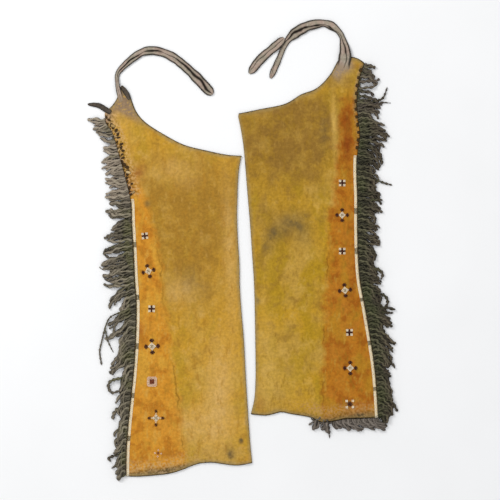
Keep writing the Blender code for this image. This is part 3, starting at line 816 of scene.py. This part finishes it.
# one quarter of each motif, from its middle row outwards; letters are bead colours
starChart = (
    "owwwwdddd",
    "wbww.dddd",
    "www...dd.",
    "ww.......",
    "w........",
    "dd.......",
    "ddd......",
    "ddd......",
    "dd.......",
)
crossChart = (
    "bwwwww.ddd",
    "wbww..ddd.",
    "ww........",
    "ww........",
    "w.........",
    "w.........",
    ".d........",
    "dd........",
    "dd........",
    "d.........",
)
cornerChart = (
    "dddddd",
    "dddddr",
    "ddwwww",
    "ddwwww",
    "ddwwww",
    "drwwww",
)
dottedChart = (
    "ddb.",
    "dd..",
    "b.ww",
    "..ww",
)
squareChart = (
    "rrrppp",
    "rrrppp",
    "rrrppp",
    "pppppp",
    "pppppp",
    "ppppp.",
)
flowerChart = (
    "rr..",
    "r...",
    "..pp",
    "..pp",
)
charts = {"star": starChart, "cross": crossChart, "corner": cornerChart, "dotted": dottedChart,
          "square": squareChart, "flower": flowerChart}
leftMotifs = (
    Motif("corner", -244, 39, 0.1, 1.45),
    Motif("star", -235, -49, 0.25, 2.1),
    Motif("corner", -227, -143, 0.0, 1.55),
    Motif("star", -226, -237, 0.06, 2.3),
    Motif("square", -226, -325, 0.0, 2.3),
    Motif("cross", -216, -416, 0.0, 2.3),
    Motif("flower", -211, -504, 0.7, 2.2),
)
rightMotifs = (
    Motif("corner", 249, 171, 0.0, 1.5),
    Motif("star", 249, 91, 0.0, 2.0),
    Motif("corner", 249, 1, 0.0, 1.5),
    Motif("star", 256, -97, 0.12, 2.1),
    Motif("corner", 267, -202, 0.0, 1.55),
    Motif("star", 269, -291, 0.0, 2.1),
    Motif("dotted", 268, -381, 0.03, 3.1),
)
stitchRise = 0.46


def beadTemplate():
    # a short glass tube with round ends, its hole along X
    sizes = beadSizes
    tube = (sizes["wide"] / 2 - sizes["hole"]) / 2
    bm = bmesh.new()
    ring = bmesh.ops.create_circle(bm, segments=sizes["profile"], radius=tube)
    bmesh.ops.scale(bm, vec=(2.5, 1.0, 1.0), verts=ring["verts"])
    bmesh.ops.translate(bm, vec=(0.0, sizes["hole"] + tube, 0.0), verts=ring["verts"])
    bmesh.ops.spin(bm, geom=bm.verts[:] + bm.edges[:], axis=(1, 0, 0), cent=(0, 0, 0), angle=2 * math.pi,
                   steps=sizes["sides"], use_merge=True)
    bmesh.ops.remove_doubles(bm, verts=bm.verts, dist=0.001)
    bmesh.ops.recalc_face_normals(bm, faces=bm.faces)
    corners = np.array([vert.co for vert in bm.verts])
    faces = np.array([[vert.index for vert in face.verts] for face in bm.faces])
    bm.free()
    return corners, faces


beadCorners, beadFaces = beadTemplate()


def beadMesh(name, beads):
    # beads are rows of place, turn about Z, colour letter and size
    dice = random.Random(len(beads))
    letters = sorted({bead[2] for bead in beads})
    corners = []
    faces = []
    tones = []
    kinds = []
    for count, (place, turn, letter, size) in enumerate(beads):
        spin = Matrix.Rotation(turn + dice.uniform(-0.12, 0.12), 3, "Z") @ Matrix.Rotation(dice.uniform(-0.1, 0.1), 3, "Y")
        shape = beadCorners @ np.array(spin).T * size * dice.uniform(0.94, 1.04)
        corners.append(shape + place)
        faces.append(beadFaces + count * len(beadCorners))
        tones.append(np.full(len(beadCorners), dice.random()))
        kinds.append(np.full(len(beadFaces), letters.index(letter)))
    mesh = bpy.data.meshes.new(name)
    mesh.from_pydata((np.concatenate(corners) * mm).tolist(), [], np.concatenate(faces).tolist())
    setValues(mesh, {"tone": np.concatenate(tones)})
    mesh.polygons.foreach_set("material_index", np.concatenate(kinds))
    mesh.update()
    return mesh, [beadFinishes[letter] for letter in letters]


def laneBeads(leg):
    # rows of beads across the lane, from the hem to the hip
    sizes = beadSizes
    dice = random.Random(11)
    edge = leg.edge(900)
    edge = edge[edge[:, 1] < laneTops[leg.name]]
    lengths = runningLengths(edge)
    count = int(lengths[-1] / sizes["rowStep"])
    places = curveAt(edge, lengths, np.linspace(1.0, lengths[-1], count))
    run = np.gradient(places, axis=0)
    run /= np.linalg.norm(run, axis=1)[:, None]
    inward = np.stack([run[:, 1], -run[:, 0]], axis=1) * -leg.outward
    beads = []
    for spot in range(count):
        turn = math.atan2(inward[spot, 1], inward[spot, 0])
        wander = 0.35 * noise.noise(Vector((places[spot, 1] / 14, 0.0, 3.0)))
        barred = any(abs(places[spot, 1] - up) < tall for up, tall in laneBars[leg.name])
        for across in range(sizes["across"]):
            inset = sizes["laneInset"] + (across + 0.5) * sizes["wide"] + wander
            x, y = places[spot] + inward[spot] * inset
            level = seat(leg.name, x, y) + sizes["wide"] / 2 * 0.94
            letter = dice.choice("ggb") if barred else "o" if across == 0 else "w"
            if not barred and dice.random() < 0.012:
                letter = "b"
            beads.append(((x, y, level), turn, letter, 1.0))
    return beads


def laneStrip(leg):
    # the narrow rawhide strip that shows between the beads
    sizes = beadSizes
    edge = leg.edge(500)
    edge = edge[(edge[:, 1] < laneTops[leg.name])]
    line = smoothLine(edge, 240)[2:-2]
    run = np.gradient(line, axis=0)
    run /= np.linalg.norm(run, axis=1)[:, None]
    inward = np.stack([run[:, 1], -run[:, 0]], axis=1) * -leg.outward
    line = line + inward * (sizes["laneInset"] + (sizes["across"] + 1) * sizes["wide"] / 2)
    level = np.array([seat(leg.name, *place) for place in line]) + sizes["stripHeight"] / 3
    count = len(line)
    return {
        "points": np.concatenate([line, level[:, None]], axis=1),
        "widths": np.full(count, sizes["stripWidth"]),
        "heights": np.full(count, sizes["stripHeight"]),
        "turns": np.zeros(count),
        "values": {},
    }


def motifBeads(leg, motifs):
    beads = []
    for motif in motifs:
        for row, line in enumerate(charts[motif.chart]):
            for column, letter in enumerate(line):
                if letter == ".":
                    continue
                for sideX in {1, -1} if column else {1}:
                    for sideY in {1, -1} if row else {1}:
                        x = column * sideX * motif.pitch
                        y = row * sideY * motif.pitch
                        placeX = motif.x + x * math.cos(motif.turn) - y * math.sin(motif.turn)
                        placeY = motif.y + x * math.sin(motif.turn) + y * math.cos(motif.turn)
                        level = seat(leg.name, placeX, placeY) + motif.pitch * stitchRise
                        size = motif.pitch / beadSizes["wide"] * 1.02
                        beads.append(((placeX, placeY, level), motif.turn, letter, size))
    return beads


for leg, motifs in ((left, leftMotifs), (right, rightMotifs)):
    mesh, finishes = beadMesh(f"{leg.name}LaneBeads", laneBeads(leg))
    keepMesh(f"{leg.name}LaneBeads", mesh, finishes, [f"{leg.name}_bead_lane"])
    keepMesh(f"{leg.name}LaneBacking", tubeMesh(f"{leg.name}LaneBacking", [laneStrip(leg)], 6), [rawhideFinish])
    mesh, finishes = beadMesh(f"{leg.name}MotifBeads", motifBeads(leg, motifs))
    keepMesh(f"{leg.name}MotifBeads", mesh, finishes)
print("beads sewn on")


# Fringe

fringeSizes = {
    "bundle": 27.0,
    "flat": 0.58,
    "twistLength": 22.0,
    "stepLength": 2.2,
    "tipShare": 0.86,
    "tipRound": 2.6,
    "rootInset": 1.0,
    "layers": 4,
    "underShare": 0.78,
    "layerRise": 2.1,
    "lowest": 1.3,
    "sway": 0.26,
    "swayLength": 44.0,
    "weltWidth": 4.6,
    "weltHeight": 4.2,
}
leftReach = (
    Reach(-561, 32, 54), Reach(-509, 41, 60), Reach(-471, 48, 62), Reach(-396, 52, 61), Reach(-321, 64, 58),
    Reach(-234, 84, 52), Reach(-171, 84, 44), Reach(-96, 84, 32), Reach(-41, 84, 20), Reach(29, 76, 12),
    Reach(66, 58, 8), Reach(129, 62, 4), Reach(184, 52, 4), Reach(279, 46, 0), Reach(318, 36, 6), Reach(352, 46, -12),
)
rightReach = (
    Reach(-416, 36, 40), Reach(-370, 62, 40), Reach(-320, 66, 44), Reach(-225, 76, 36), Reach(-130, 76, 30),
    Reach(-79, 66, 28), Reach(-26, 62, 28), Reach(90, 62, 18), Reach(196, 66, 10), Reach(290, 72, 4),
    Reach(370, 70, -2), Reach(411, 66, -6), Reach(450, 42, 4), Reach(470, 26, 10),
)
# the right hem's thongs lie over one another to the lower right
hemReach = (Reach(150, 22, -20), Reach(205, 26, 10), Reach(240, 30, 50), Reach(270, 48, 58), Reach(335, 44, 56))
leftLoose = (
    Loose(((-296, 54), (-312, 48), (-330, 41), (-346, 32)), 11.0, 9.5, 6.0, 0.25),
    Loose(((-300, 14), (-323, 11), (-342, 4), (-345, -7), (-330, -16), (-300, -16)), 8.0, 7.5, 6.0, 0.15),
    Loose(((-305, -36), (-330, -42), (-350, -44), (-358, -38)), 9.0, 3.0, 4.0, 0.6),
    Loose(((-296, -62), (-320, -68), (-340, -72)), 11.0, 8.0, 6.0, 0.4),
    Loose(((-300, -150), (-330, -164), (-343, -190), (-351, -222), (-357, -250), (-352, -284)), 5.4, 5.8, 4.5, 0.3),
    Loose(((-343, -191), (-337, -222), (-323, -252)), 4.6, 3.4, 4.5, 0.3),
    Loose(((-301, -316), (-328, -323), (-335, -338), (-326, -353), (-306, -347)), 10.0, 7.0, 6.0, 0.3),
    Loose(((-296, -384), (-314, -396), (-323, -410), (-322, -420)), 12.0, 10.0, 5.5, 0.45),
    Loose(((-306, -506), (-322, -511), (-334, -516), (-329, -525)), 9.0, 8.0, 5.0, 0.05),
)
rightLoose = (
    Loose(((300, 366), (333, 376), (351, 384), (362, 411)), 8.0, 4.0, 4.5, 0.4),
    Loose(((300, 350), (333, 364), (348, 372), (371, 371)), 7.5, 2.0, 3.5, 0.4),
    Loose(((320, -104), (346, -106), (360, -116), (362, -132), (350, -142)), 10.0, 8.0, 6.0, 0.35),
    Loose(((330, -150), (352, -152), (368, -154), (377, -152)), 9.0, 5.0, 4.0, 0.2),
    Loose(((320, 128), (338, 130), (350, 128)), 9.0, 7.0, 5.0, 0.5),
    Loose(((318, -40), (338, -44), (350, -56), (346, -70)), 10.0, 8.0, 6.0, 0.5),
    Loose(((330, 180), (352, 172), (366, 168), (374, 166)), 7.0, 4.5, 4.0, 0.5),
)
hemLoose = (
    Loose(((212, -420), (214, -438), (216, -452), (218, -468)), 11.0, 1.4, 3.4, 0.3),
    Loose(((196, -414), (184, -422), (174, -428), (165, -434)), 8.5, 5.0, 3.4, 0.8),
    Loose(((205, -420), (199, -430), (195, -441)), 7.0, 3.0, 3.0, 0.6),
)


def thongTube(points, width, tip, tone, grey, turnStart, flat, twist=1):
    lengths = runningLengths(points)
    share = lengths / lengths[-1]
    taper = width + (tip - width) * smoothStep((share - 0.55) / 0.45)
    taper = taper * np.sqrt(np.clip((lengths[-1] - lengths) / fringeSizes["tipRound"], 0.12, 1))
    return {
        "points": points,
        "widths": taper,
        "heights": taper * flat,
        "turns": turnStart + twist * lengths / fringeSizes["twistLength"] * math.pi * 2,
        "values": {
            "along": share,
            "tone": np.full(len(points), tone),
            "grey": np.full(len(points), grey),
        },
    }


def fringeTubes(fringe, lengths):
    # thongs along an edge in layers, each leaving the seam square to it and then drooping to the hem
    sizes = fringeSizes
    dice = random.Random(fringe["seed"])
    reach = sorted(fringe["reach"])
    ups = [row.up for row in reach]
    start, way = fringe["down"]
    count = int(lengths[-1] / fringe["spacing"])
    places = curveAt(fringe["edge"], lengths, (np.arange(count) + 0.5) / count * lengths[-1])
    run = np.gradient(places, axis=0)
    facing = np.stack([run[:, 1], -run[:, 0]], axis=1) * fringe["outward"]
    facing /= np.linalg.norm(facing, axis=1)[:, None]
    tubes = []
    for spot, place in enumerate(places):
        up = place[fringe["column"]]
        low, high, kept = fringe["sparse"]
        if low < up < high and dice.random() > kept:
            continue
        length = np.interp(up, ups, [row.length for row in reach]) * dice.uniform(0.74, 1.08)
        layer = spot % sizes["layers"]
        if layer == 0:
            length *= sizes["underShare"]
        for middle, span, share in fringe["thins"]:
            length *= 1 - (1 - share) * math.exp(-(((up - middle) / span) ** 2))
        droop = math.radians(np.interp(up, ups, [row.droop for row in reach]))
        bundle = math.floor(up / sizes["bundle"]) + 0.5
        middle = (bundle + 0.3 * noise.noise(Vector((bundle * 3.7, 0.0, fringe["seed"])))) * sizes["bundle"]
        droop += fringe["gather"] * (up - middle) / length
        length *= 1 + fringe["uneven"] * noise.noise(Vector((bundle * 5.3, 4.0, fringe["seed"])))
        clump = noise.noise(Vector((up / 40, 0.0, fringe["seed"]))) * 0.3
        heading = start + (droop + clump + dice.gauss(0, fringe["loosen"])) * way
        square = math.atan2(facing[spot, 1], facing[spot, 0])
        turn = (heading - square + math.pi) % (2 * math.pi) - math.pi
        steps = max(int(length / sizes["stepLength"]), 6)
        share = np.linspace(0, 1, steps + 1)
        wave = sizes["sway"] * np.sin(share * length / sizes["swayLength"] * 2 * math.pi + dice.uniform(0, 6.3))
        knot = random.Random(fringe["seed"] * 1000 + int(bundle))
        curl = (knot.gauss(*fringe["curl"]) + dice.gauss(0, 0.3)) * share**3 * way
        angle = square + turn * smoothStep(share / 0.35) + (wave + curl) * smoothStep(share / 0.3)
        flow = np.stack([np.cos(angle), np.sin(angle)], axis=1) * length / steps
        plan = place + facing[spot] * sizes["rootInset"] + np.concatenate([[[0, 0]], np.cumsum(flow[:-1], axis=0)])
        rise = layer * sizes["layerRise"] + dice.uniform(0, 1.0)
        level = sizes["lowest"] + 0.6 + (rise + 0.3) * np.sin(np.pi * np.minimum(share * 0.8 + 0.25, 1.0))
        points = np.concatenate([plan, level[:, None]], axis=1)
        low, high, least, most = fringe["grey"]
        grey = np.interp(up, (low, high), (least, most)) * dice.uniform(0.4, 1.0)
        width = fringe["width"] * dice.uniform(0.76, 1.18)
        # tone is random and darker on the lower layers: painted shade under the thongs lying above
        tone = dice.uniform(0.15, 1.0) * (layer + 0.5) / 3.5
        look = (tone, grey, dice.uniform(0, 6.3), sizes["flat"], fringe["twist"])
        tubes.append(thongTube(points, width, width * sizes["tipShare"], *look))
    return tubes


def looseTubes(rows, grey):
    tubes = []
    for row in rows:
        plan = smoothLine(row.path, 26)
        level = row.level - (row.level - 1.6) * smoothStep(np.linspace(-0.2, 1.0, 26))
        points = np.concatenate([plan, level[:, None]], axis=1)
        flat = 0.5 if row.twist else 0.22
        tubes.append(thongTube(points, row.width, row.tip, row.tone, grey, 0.3 * row.twist, flat, row.twist))
    return tubes


def weltTube(edge, outward):
    # the folded strip that the thongs are cut from, sewn into the seam
    sizes = fringeSizes
    line = smoothLine(edge, max(int(runningLengths(edge)[-1] / 3.0), 8))
    run = np.gradient(line, axis=0)
    facing = np.stack([run[:, 1], -run[:, 0]], axis=1) * outward
    facing /= np.linalg.norm(facing, axis=1)[:, None]
    plan = line + facing * (sizes["weltWidth"] / 2 + 0.2)
    wander = noiseAt(line, 9, 5)
    level = np.full(len(plan), sizes["weltHeight"] / 2 + 0.15)
    ends = np.minimum(np.arange(len(plan)), np.arange(len(plan))[::-1])
    swell = (0.55 + 0.45 * smoothStep(ends / 3)) * (1 + 0.12 * wander)
    return {
        "points": np.concatenate([plan, level[:, None]], axis=1),
        "widths": sizes["weltWidth"] * swell,
        "heights": sizes["weltHeight"] * swell,
        "turns": np.zeros(len(plan)),
        "values": {
            "along": np.zeros(len(plan)),
            "tone": 0.3 + 0.3 * wander,
            "grey": np.zeros(len(plan)),
        },
    }


leftEdge = left.edge(400)
hemEdge = right.at(np.linspace(0.0, 0.53, 120), np.zeros(120))
fringes = {
    "leftThongs": {
        "node": "left_fringe", "finish": "left", "edge": leftEdge[leftEdge[:, 1] < 336], "outward": -1, "column": 1,
        "down": (math.pi, 1), "reach": leftReach, "thins": ((-402, 12, 0.7), (-332, 17, 0.55), (-262, 22, 0.86), (-122, 17, 0.5)), "gather": 0.9, "uneven": 0.35, "loosen": 0.06,
        "spacing": 3.9, "twist": 0.5, "sparse": (226, 340, 0.7), "curl": (0.3, 0.9), "width": 9.6, "grey": (60, 170, 0.05, 0.95), "loose": leftLoose,
        "seed": 3,
    },
    "rightThongs": {
        "node": "right_fringe", "finish": "right", "edge": right.edge(400), "outward": 1, "column": 1,
        "down": (0.0, -1), "reach": rightReach, "thins": ((-278, 17, 0.55), (-60, 16, 0.9)), "gather": 0.3, "uneven": 0.16, "loosen": 0.16,
        "spacing": 3.3, "twist": 0.75, "sparse": (380, 462, 0.5), "curl": (1.3, 1.2), "width": 9.8, "grey": (240, 440, 0.05, 0.75), "loose": rightLoose,
        "seed": 5,
    },
    "rightHemThongs": {
        "node": "right_hem_fringe", "finish": "hem", "edge": hemEdge, "outward": -1, "column": 0,
        "down": (-math.pi / 2, 1), "reach": hemReach, "thins": (), "gather": 0.0, "uneven": 0.1, "loosen": 0.24, "spacing": 3.3, "twist": 0.5,
        "sparse": (150, 226, 0.3), "curl": (0.3, 1.0), "width": 10.0,
        "grey": (150, 340, 0.8, 0.8), "loose": hemLoose, "seed": 8,
    },
}
for name, fringe in fringes.items():
    tubes = fringeTubes(fringe, runningLengths(fringe["edge"]))
    tubes += looseTubes(fringe["loose"], 0.1)
    tubes.append(weltTube(fringe["edge"], fringe["outward"]))
    keepMesh(name, tubeMesh(name, tubes, 6), [thongFinishes[fringe["finish"]]], [fringe["node"]])
print("fringe hung")


# Hip seams: short bars of lacing, and between them dark bars of painted shade where the lacing holes are

seamSizes = {"barRise": 1.0, "barHeight": 1.8, "notchRise": 0.25, "notchHeight": 0.7}
seamLooks = {
    "left": {"step": 8.5, "bar": (6.0, 12.0), "barWidth": (4.0, 8.0), "notch": (6.0, 11.0), "notchWidth": (4.0, 9.0), "slant": 0.9,
             "drift": 12.0, "bars": 0.3, "inset": 1.0},
    "right": {"step": 19.5, "bar": (3.0, 5.0), "barWidth": (3.0, 4.5), "notch": (7.0, 9.0), "notchWidth": (7.5, 10.5), "slant": 0.25,
              "drift": 0.5, "bars": 0.0, "inset": 2.6},
}


def seamTube(leg, middle, heading, length, width, rise, height, tone):
    # a short flat bar lying on the hide
    reach = np.array([math.cos(heading), math.sin(heading)]) * length / 2
    plan = np.linspace(middle - reach, middle + reach, 7)
    level = max(seat(leg.name, *middle), 3.9) + rise
    swell = np.sqrt(np.sin(np.linspace(0.12, 0.88, 7) * math.pi))
    return {
        "points": np.concatenate([plan, np.full((7, 1), level)], axis=1),
        "widths": width * swell,
        "heights": np.full(7, height),
        "turns": np.zeros(7),
        "values": {"along": np.full(7, 0.3), "tone": np.full(7, tone), "grey": np.zeros(7)},
    }


def hipSeam(leg):
    sizes = seamSizes
    look = seamLooks[leg.name]
    dice = random.Random(21)
    edge = leg.edge(600)
    low, high = hipSpans[leg.name]
    edge = edge[(edge[:, 1] > low) & (edge[:, 1] < high)]
    lengths = runningLengths(edge)
    places = curveAt(edge, lengths, np.arange(2.0, lengths[-1] - 6, look["step"]))
    run = np.gradient(places, axis=0)
    run /= np.linalg.norm(run, axis=1)[:, None]
    inward = np.stack([run[:, 1], -run[:, 0]], axis=1) * -leg.outward
    bars = []
    holeShades = []
    for spot, place in enumerate(places):
        square = math.atan2(inward[spot, 1], inward[spot, 0])
        inset = look["inset"] + dice.uniform(0, look["drift"])
        # a dark bar of painted shade at each lacing hole
        holeShades.append(seamTube(
            leg, place + inward[spot] * inset, square + dice.uniform(-1, 1) * look["slant"], dice.uniform(*look["notch"]),
            dice.uniform(*look["notchWidth"]), sizes["notchRise"], sizes["notchHeight"], 0.0))
        if dice.random() < look["bars"]:
            middle = place + inward[spot] * (look["inset"] + dice.uniform(0, look["drift"])) + run[spot] * look["step"] / 2
            bars.append(seamTube(
                leg, middle, square + dice.uniform(-1, 1) * look["slant"], dice.uniform(*look["bar"]),
                dice.uniform(*look["barWidth"]), sizes["barRise"], sizes["barHeight"], dice.random()))
    for name, tubes, finish, slot in (("HipLacing", bars, laceFinish, "bare_hide"),
                                      ("LacingHoleShades", holeShades, thongFinishes["notch"], "fringe_hide")):
        if tubes:
            keepMesh(leg.name + name, tubeMesh(leg.name + name, tubes, 8), [finish])


for leg in (left, right):
    hipSeam(leg)
print("hips laced")


# Hip ties

tieSizes = {"thickness": 1.6, "stepLength": 2.6, "around": 26, "shut": 2.5, "gap": 4.5, "dip": 2.2, "wander": 13.0,
            "crease": 0.22, "lump": 0.16, "endRound": 11.0, "rootRound": 9.0, "rootFade": 26.0}
leftTieRows = (
    StrapRow(-302, 374, 13, 1.8, 2.2), StrapRow(-307, 391, 13, 3.2, 3.9), StrapRow(-312, 414, 11, 4.2, 4.3, 0.2),
    StrapRow(-313, 440, 11, 5.0, 0.0, 0.4), StrapRow(-302, 458, 15, 5.5, 0.0, 0.8), StrapRow(-274, 483, 19, 6.0, 0.0, 0.9),
    StrapRow(-250, 498, 21, 6.0, 0.0, 0.1), StrapRow(-224, 502, 22, 6.5, 0.0, 1.0), StrapRow(-196, 496, 22, 6.5, 0.0, 0.0),
    StrapRow(-170, 483, 23, 6.5, 0.0, 0.3), StrapRow(-146, 464, 24, 6.5, 0.0, 0.8), StrapRow(-122, 442, 25, 6.5, 0.0, 1.0),
    StrapRow(-102, 421, 27, 6.5, 0.0, 1.0), StrapRow(-87, 405, 26, 6.0, 0.0, 0.9), StrapRow(-75, 393, 22, 4.5, 0.0, 0.1),
)
rightTieRows = (
    StrapRow(249, 448, 26, 1.8, 2.2), StrapRow(252, 464, 32, 3.0, 3.4), StrapRow(256, 486, 33, 3.8, 4.3, 0.15),
    StrapRow(256, 502, 28, 4.2, 4.3, 0.5), StrapRow(253, 520, 20, 4.6, 0.0, 0.5), StrapRow(249, 535, 13.5, 5.0, 0.0, 0.3),
    StrapRow(241, 549, 15, 5.5, 0.0, 0.2), StrapRow(224, 563, 21, 6.0, 0.0, 0.6), StrapRow(205, 570, 19, 6.0, 0.0, 0.1),
    StrapRow(188, 569, 22, 6.0, 0.0, 0.8), StrapRow(166, 564, 26, 6.5, 0.0, 0.4), StrapRow(148, 556, 27, 6.5, 0.0, 1.0),
    StrapRow(131, 545, 26, 6.0, 0.0, 1.0), StrapRow(113, 528, 17, 4.6, 0.0, 0.5), StrapRow(102, 508, 13, 3.8, 0.0, 0.2),
    StrapRow(90, 479, 14, 4.0, 0.0, 0.1), StrapRow(78, 452, 16, 4.0, 0.0, 0.2), StrapRow(70, 433, 11, 3.0, 0.0),
)
rightTailRows = (
    StrapRow(104, 533, 17, 3.2, 4.7), StrapRow(96, 525, 22, 3.6, 4.3, 0.1), StrapRow(84, 514, 22, 3.8, 3.9, 0.2),
    StrapRow(67, 500, 22, 4.6, 0.0, 0.1), StrapRow(53, 488, 24, 5.0, 0.0, 0.3), StrapRow(38, 472, 24, 5.0, 0.0, 0.2),
    StrapRow(26, 456, 21, 4.5, 0.0, 0.1), StrapRow(17, 445, 15, 3.0, 0.0),
)


def rolledStrap(name, node, rows, twist, seed, rooted=True):
    # hide rolled lengthwise until its long edges meet along the top; a root lies thin on the hide
    sizes = tieSizes
    half = sizes["thickness"] / 2
    line = np.array([(row.x, row.y) for row in rows], float)
    lengths = runningLengths(line)
    count = int(lengths[-1] / sizes["stepLength"])
    along = np.linspace(0, lengths[-1], count)
    plan = curveAt(line, lengths, along)
    run = np.gradient(plan, axis=0)
    run /= np.linalg.norm(run, axis=1)[:, None]
    across = np.stack([run[:, 1], -run[:, 0]], axis=1)
    columns = {key: np.interp(along, lengths, [getattr(row, key) for row in rows]) for key in StrapRow._fields}
    lips = np.exp(-((np.arange(sizes["around"]) / 1.7) ** 2))
    lips = lips + lips[::-1]
    # narrow painted shade at the two lips of the slit
    slitShade = np.exp(-((np.arange(sizes["around"]) / 0.9) ** 2))
    slitShade = slitShade + slitShade[::-1]
    places = np.zeros((count, sizes["around"], 3))
    values = {key: np.zeros((count, sizes["around"])) for key in ("side", "slitAndUnderShade", "root")}
    for spot in range(count):
        up = along[spot]
        slit = columns["slit"][spot] * (0.75 + 0.5 * noise.noise(Vector((up / 9, seed, 7.0))))
        gap = math.radians(sizes["shut"] + sizes["gap"] * slit)
        angles = np.linspace(math.pi / 2 + gap, math.pi * 5 / 2 - gap, sizes["around"])
        wave = noise.noise(Vector((up / 26, seed, 0.0)))
        turned = angles + math.radians(sizes["wander"]) * wave * 2 + twist * math.sin(up / 48 + seed)
        puff = np.array([noise.noise(Vector((up / 13, a, seed))) for a in angles]) * sizes["crease"]
        lump = 1 + sizes["lump"] * noise.noise(Vector((up / 20, seed, 4.0)))
        rounding = math.sqrt(min(max((lengths[-1] - up) / sizes["endRound"], 0.12), 1))
        rounding *= math.sqrt(min(max(up / sizes["rootRound"], 0.2), 1))
        if rooted:
            values["root"][spot] = 1 - smoothStep((up - 4) / sizes["rootFade"])
        width = (columns["width"][spot] / 2 * lump - half) * rounding + puff
        height = np.maximum(columns["height"][spot] / 2 - half, 0.3) + puff * 0.6
        level = columns["height"][spot] / 2 + np.sin(turned) * height
        level = level - lips * sizes["dip"] * slit * min(columns["height"][spot] / 6, 1)
        places[spot, :, :2] = plan[spot] + across[spot] * (np.cos(turned) * width * (1 - lips * 0.08))[:, None]
        places[spot, :, 2] = np.maximum(level, half) + columns["rest"][spot]
        # painted shade along the sides of the roll, where it turns away
        values["side"][spot] = smoothStep((np.abs(np.cos(turned)) - 0.62) / 0.22)
        # painted shade in the slit and under the roll
        values["slitAndUnderShade"][spot] = np.maximum(np.minimum(slitShade * slit * 1.6, 1), smoothStep((-np.sin(turned) - 0.4) / 0.3))
    mesh = gridMesh(name, places, values, False)
    bm = bmesh.new()
    bm.from_mesh(mesh)
    bmesh.ops.recalc_face_normals(bm, faces=bm.faces)
    bm.to_mesh(mesh)
    bm.free()
    made = keepMesh(name, mesh, [tieFinish], [node])
    wall = made.modifiers.new("hide thickness", "SOLIDIFY")
    wall.thickness = sizes["thickness"] * mm
    wall.offset = 0.0
    return made


leftTie = rolledStrap("leftTieRoll", "left_tie", leftTieRows, 0.15, 2.0)
rightTie = rolledStrap("rightTieRoll", "right_tie", rightTieRows, 0.55, 5.0)
rightTail = rolledStrap("rightTieTail", "right_tie_tail", rightTailRows, 0.2, 9.0, False)
# dark pieces at the left peak: the waist edge folded over beside the tie, and a broad thong from the shoulder
peakFlaps = (
    {"path": ((-303, 413, 5.6), (-296, 404, 5.8), (-288, 392, 5.8), (-282, 380, 5.6)), "width": 12.5, "ends": (0.10, 0.92)},
    {"path": ((-329, 347, 4.9), (-344, 356, 4.2), (-360, 365, 3.0), (-387, 368, 2.4)), "width": 13.5, "ends": (0.25, 0.99)},
)
tubes = []
for flap in peakFlaps:
    points = smoothLine(flap["path"], 18)
    swell = np.sqrt(np.sin(np.linspace(*flap["ends"], 18) * math.pi))
    ripple = np.array([noise.noise(Vector((point[0] / 7, point[1] / 7, 2.0))) for point in points])
    tubes.append({
        "points": points, "widths": flap["width"] * swell * (1 + 0.12 * ripple), "heights": np.full(18, 2.0),
        "turns": 0.15 * ripple, "values": {"along": np.full(18, 0.2), "tone": 0.35 + 0.3 * ripple, "grey": np.zeros(18)},
    })
leftFlap = keepMesh("leftPeakFlaps", tubeMesh("leftPeakFlaps", tubes, 10), [thongFinishes["dark"]])
print("ties rolled")


# Floor, light and camera

def floorBoard():
    bm = bmesh.new()
    bmesh.ops.create_grid(bm, x_segments=1, y_segments=1, size=4.0)
    mesh = bpy.data.meshes.new("floor")
    bm.to_mesh(mesh)
    bm.free()
    board = bpy.data.objects.new("floor", mesh)
    bpy.context.scene.collection.objects.link(board)
    mesh.materials.append(makeMaterial("whiteMillBoard", millBoard, {"main": "#F6F6F5", "other": "#FBFBFA"}))
    return board


floorBoard()

lightSizes = {"key": 52.0, "keySize": 1.1, "fill": 14.0, "fillSize": 4.0, "world": 0.72}


def areaLight(name, power, size, place, aim):
    data = bpy.data.lights.new(name, "AREA")
    data.energy = power
    data.size = size
    lamp = bpy.data.objects.new(name, data)
    bpy.context.scene.collection.objects.link(lamp)
    lamp.location = place
    lamp.rotation_euler = (Vector(aim) - Vector(place)).to_track_quat("-Z", "Y").to_euler()
    return lamp


areaLight("windowLight", lightSizes["key"], lightSizes["keySize"], (-2.0, 1.9, 2.2), (0, 0, 0))
areaLight("skyLight", lightSizes["fill"], lightSizes["fillSize"], (0.6, -0.8, 3.4), (0, 0, 0))
world = bpy.data.worlds.new("studio")
world.use_nodes = True
world.node_tree.nodes["Background"].inputs["Color"].default_value = linear("#FBFCFF")
world.node_tree.nodes["Background"].inputs["Strength"].default_value = lightSizes["world"]
bpy.context.scene.world = world
bpy.context.scene.view_settings.view_transform = "Standard"

cameraSizes = {"x": 18.75, "y": 3.75, "frame": 1250.0, "away": 6000.0, "sensor": 36.0}
cameraData = bpy.data.cameras.new("camera")
cameraData.sensor_width = cameraSizes["sensor"]
cameraData.lens = cameraSizes["sensor"] * cameraSizes["away"] / cameraSizes["frame"]
cameraData.clip_end = 50.0
camera = bpy.data.objects.new("camera", cameraData)
bpy.context.scene.collection.objects.link(camera)
camera.location = (cameraSizes["x"] * mm, cameraSizes["y"] * mm, cameraSizes["away"] * mm)
bpy.context.scene.camera = camera
print("stage set")


# Cut sizes: each hide as it was cut, opened out flat

def cutSize(leg):
    # both layers opened out flat at the fold: width, length and area in metres
    outline = np.concatenate([leg.at(np.zeros(200), np.linspace(0, 1, 200)), leg.at(np.linspace(0, 1, 200), np.ones(200)),
                              leg.at(np.ones(200), np.linspace(1, 0, 200)), leg.at(np.linspace(1, 0, 200), np.zeros(200))])
    x, y = outline.T
    area = abs(np.dot(x, np.roll(y, -1)) - np.dot(y, np.roll(x, -1))) / 2
    width = 2 * leg.width(np.linspace(0, 1, 200)).max()
    return round(width * mm, 3), round((y.max() - y.min()) * mm, 3), round(2 * area * mm * mm, 4)


for leg in (left, right):
    cutWidth, cutLength, cutArea = cutSize(leg)
    print(leg.name, "hide cut", cutWidth, cutLength, cutArea)
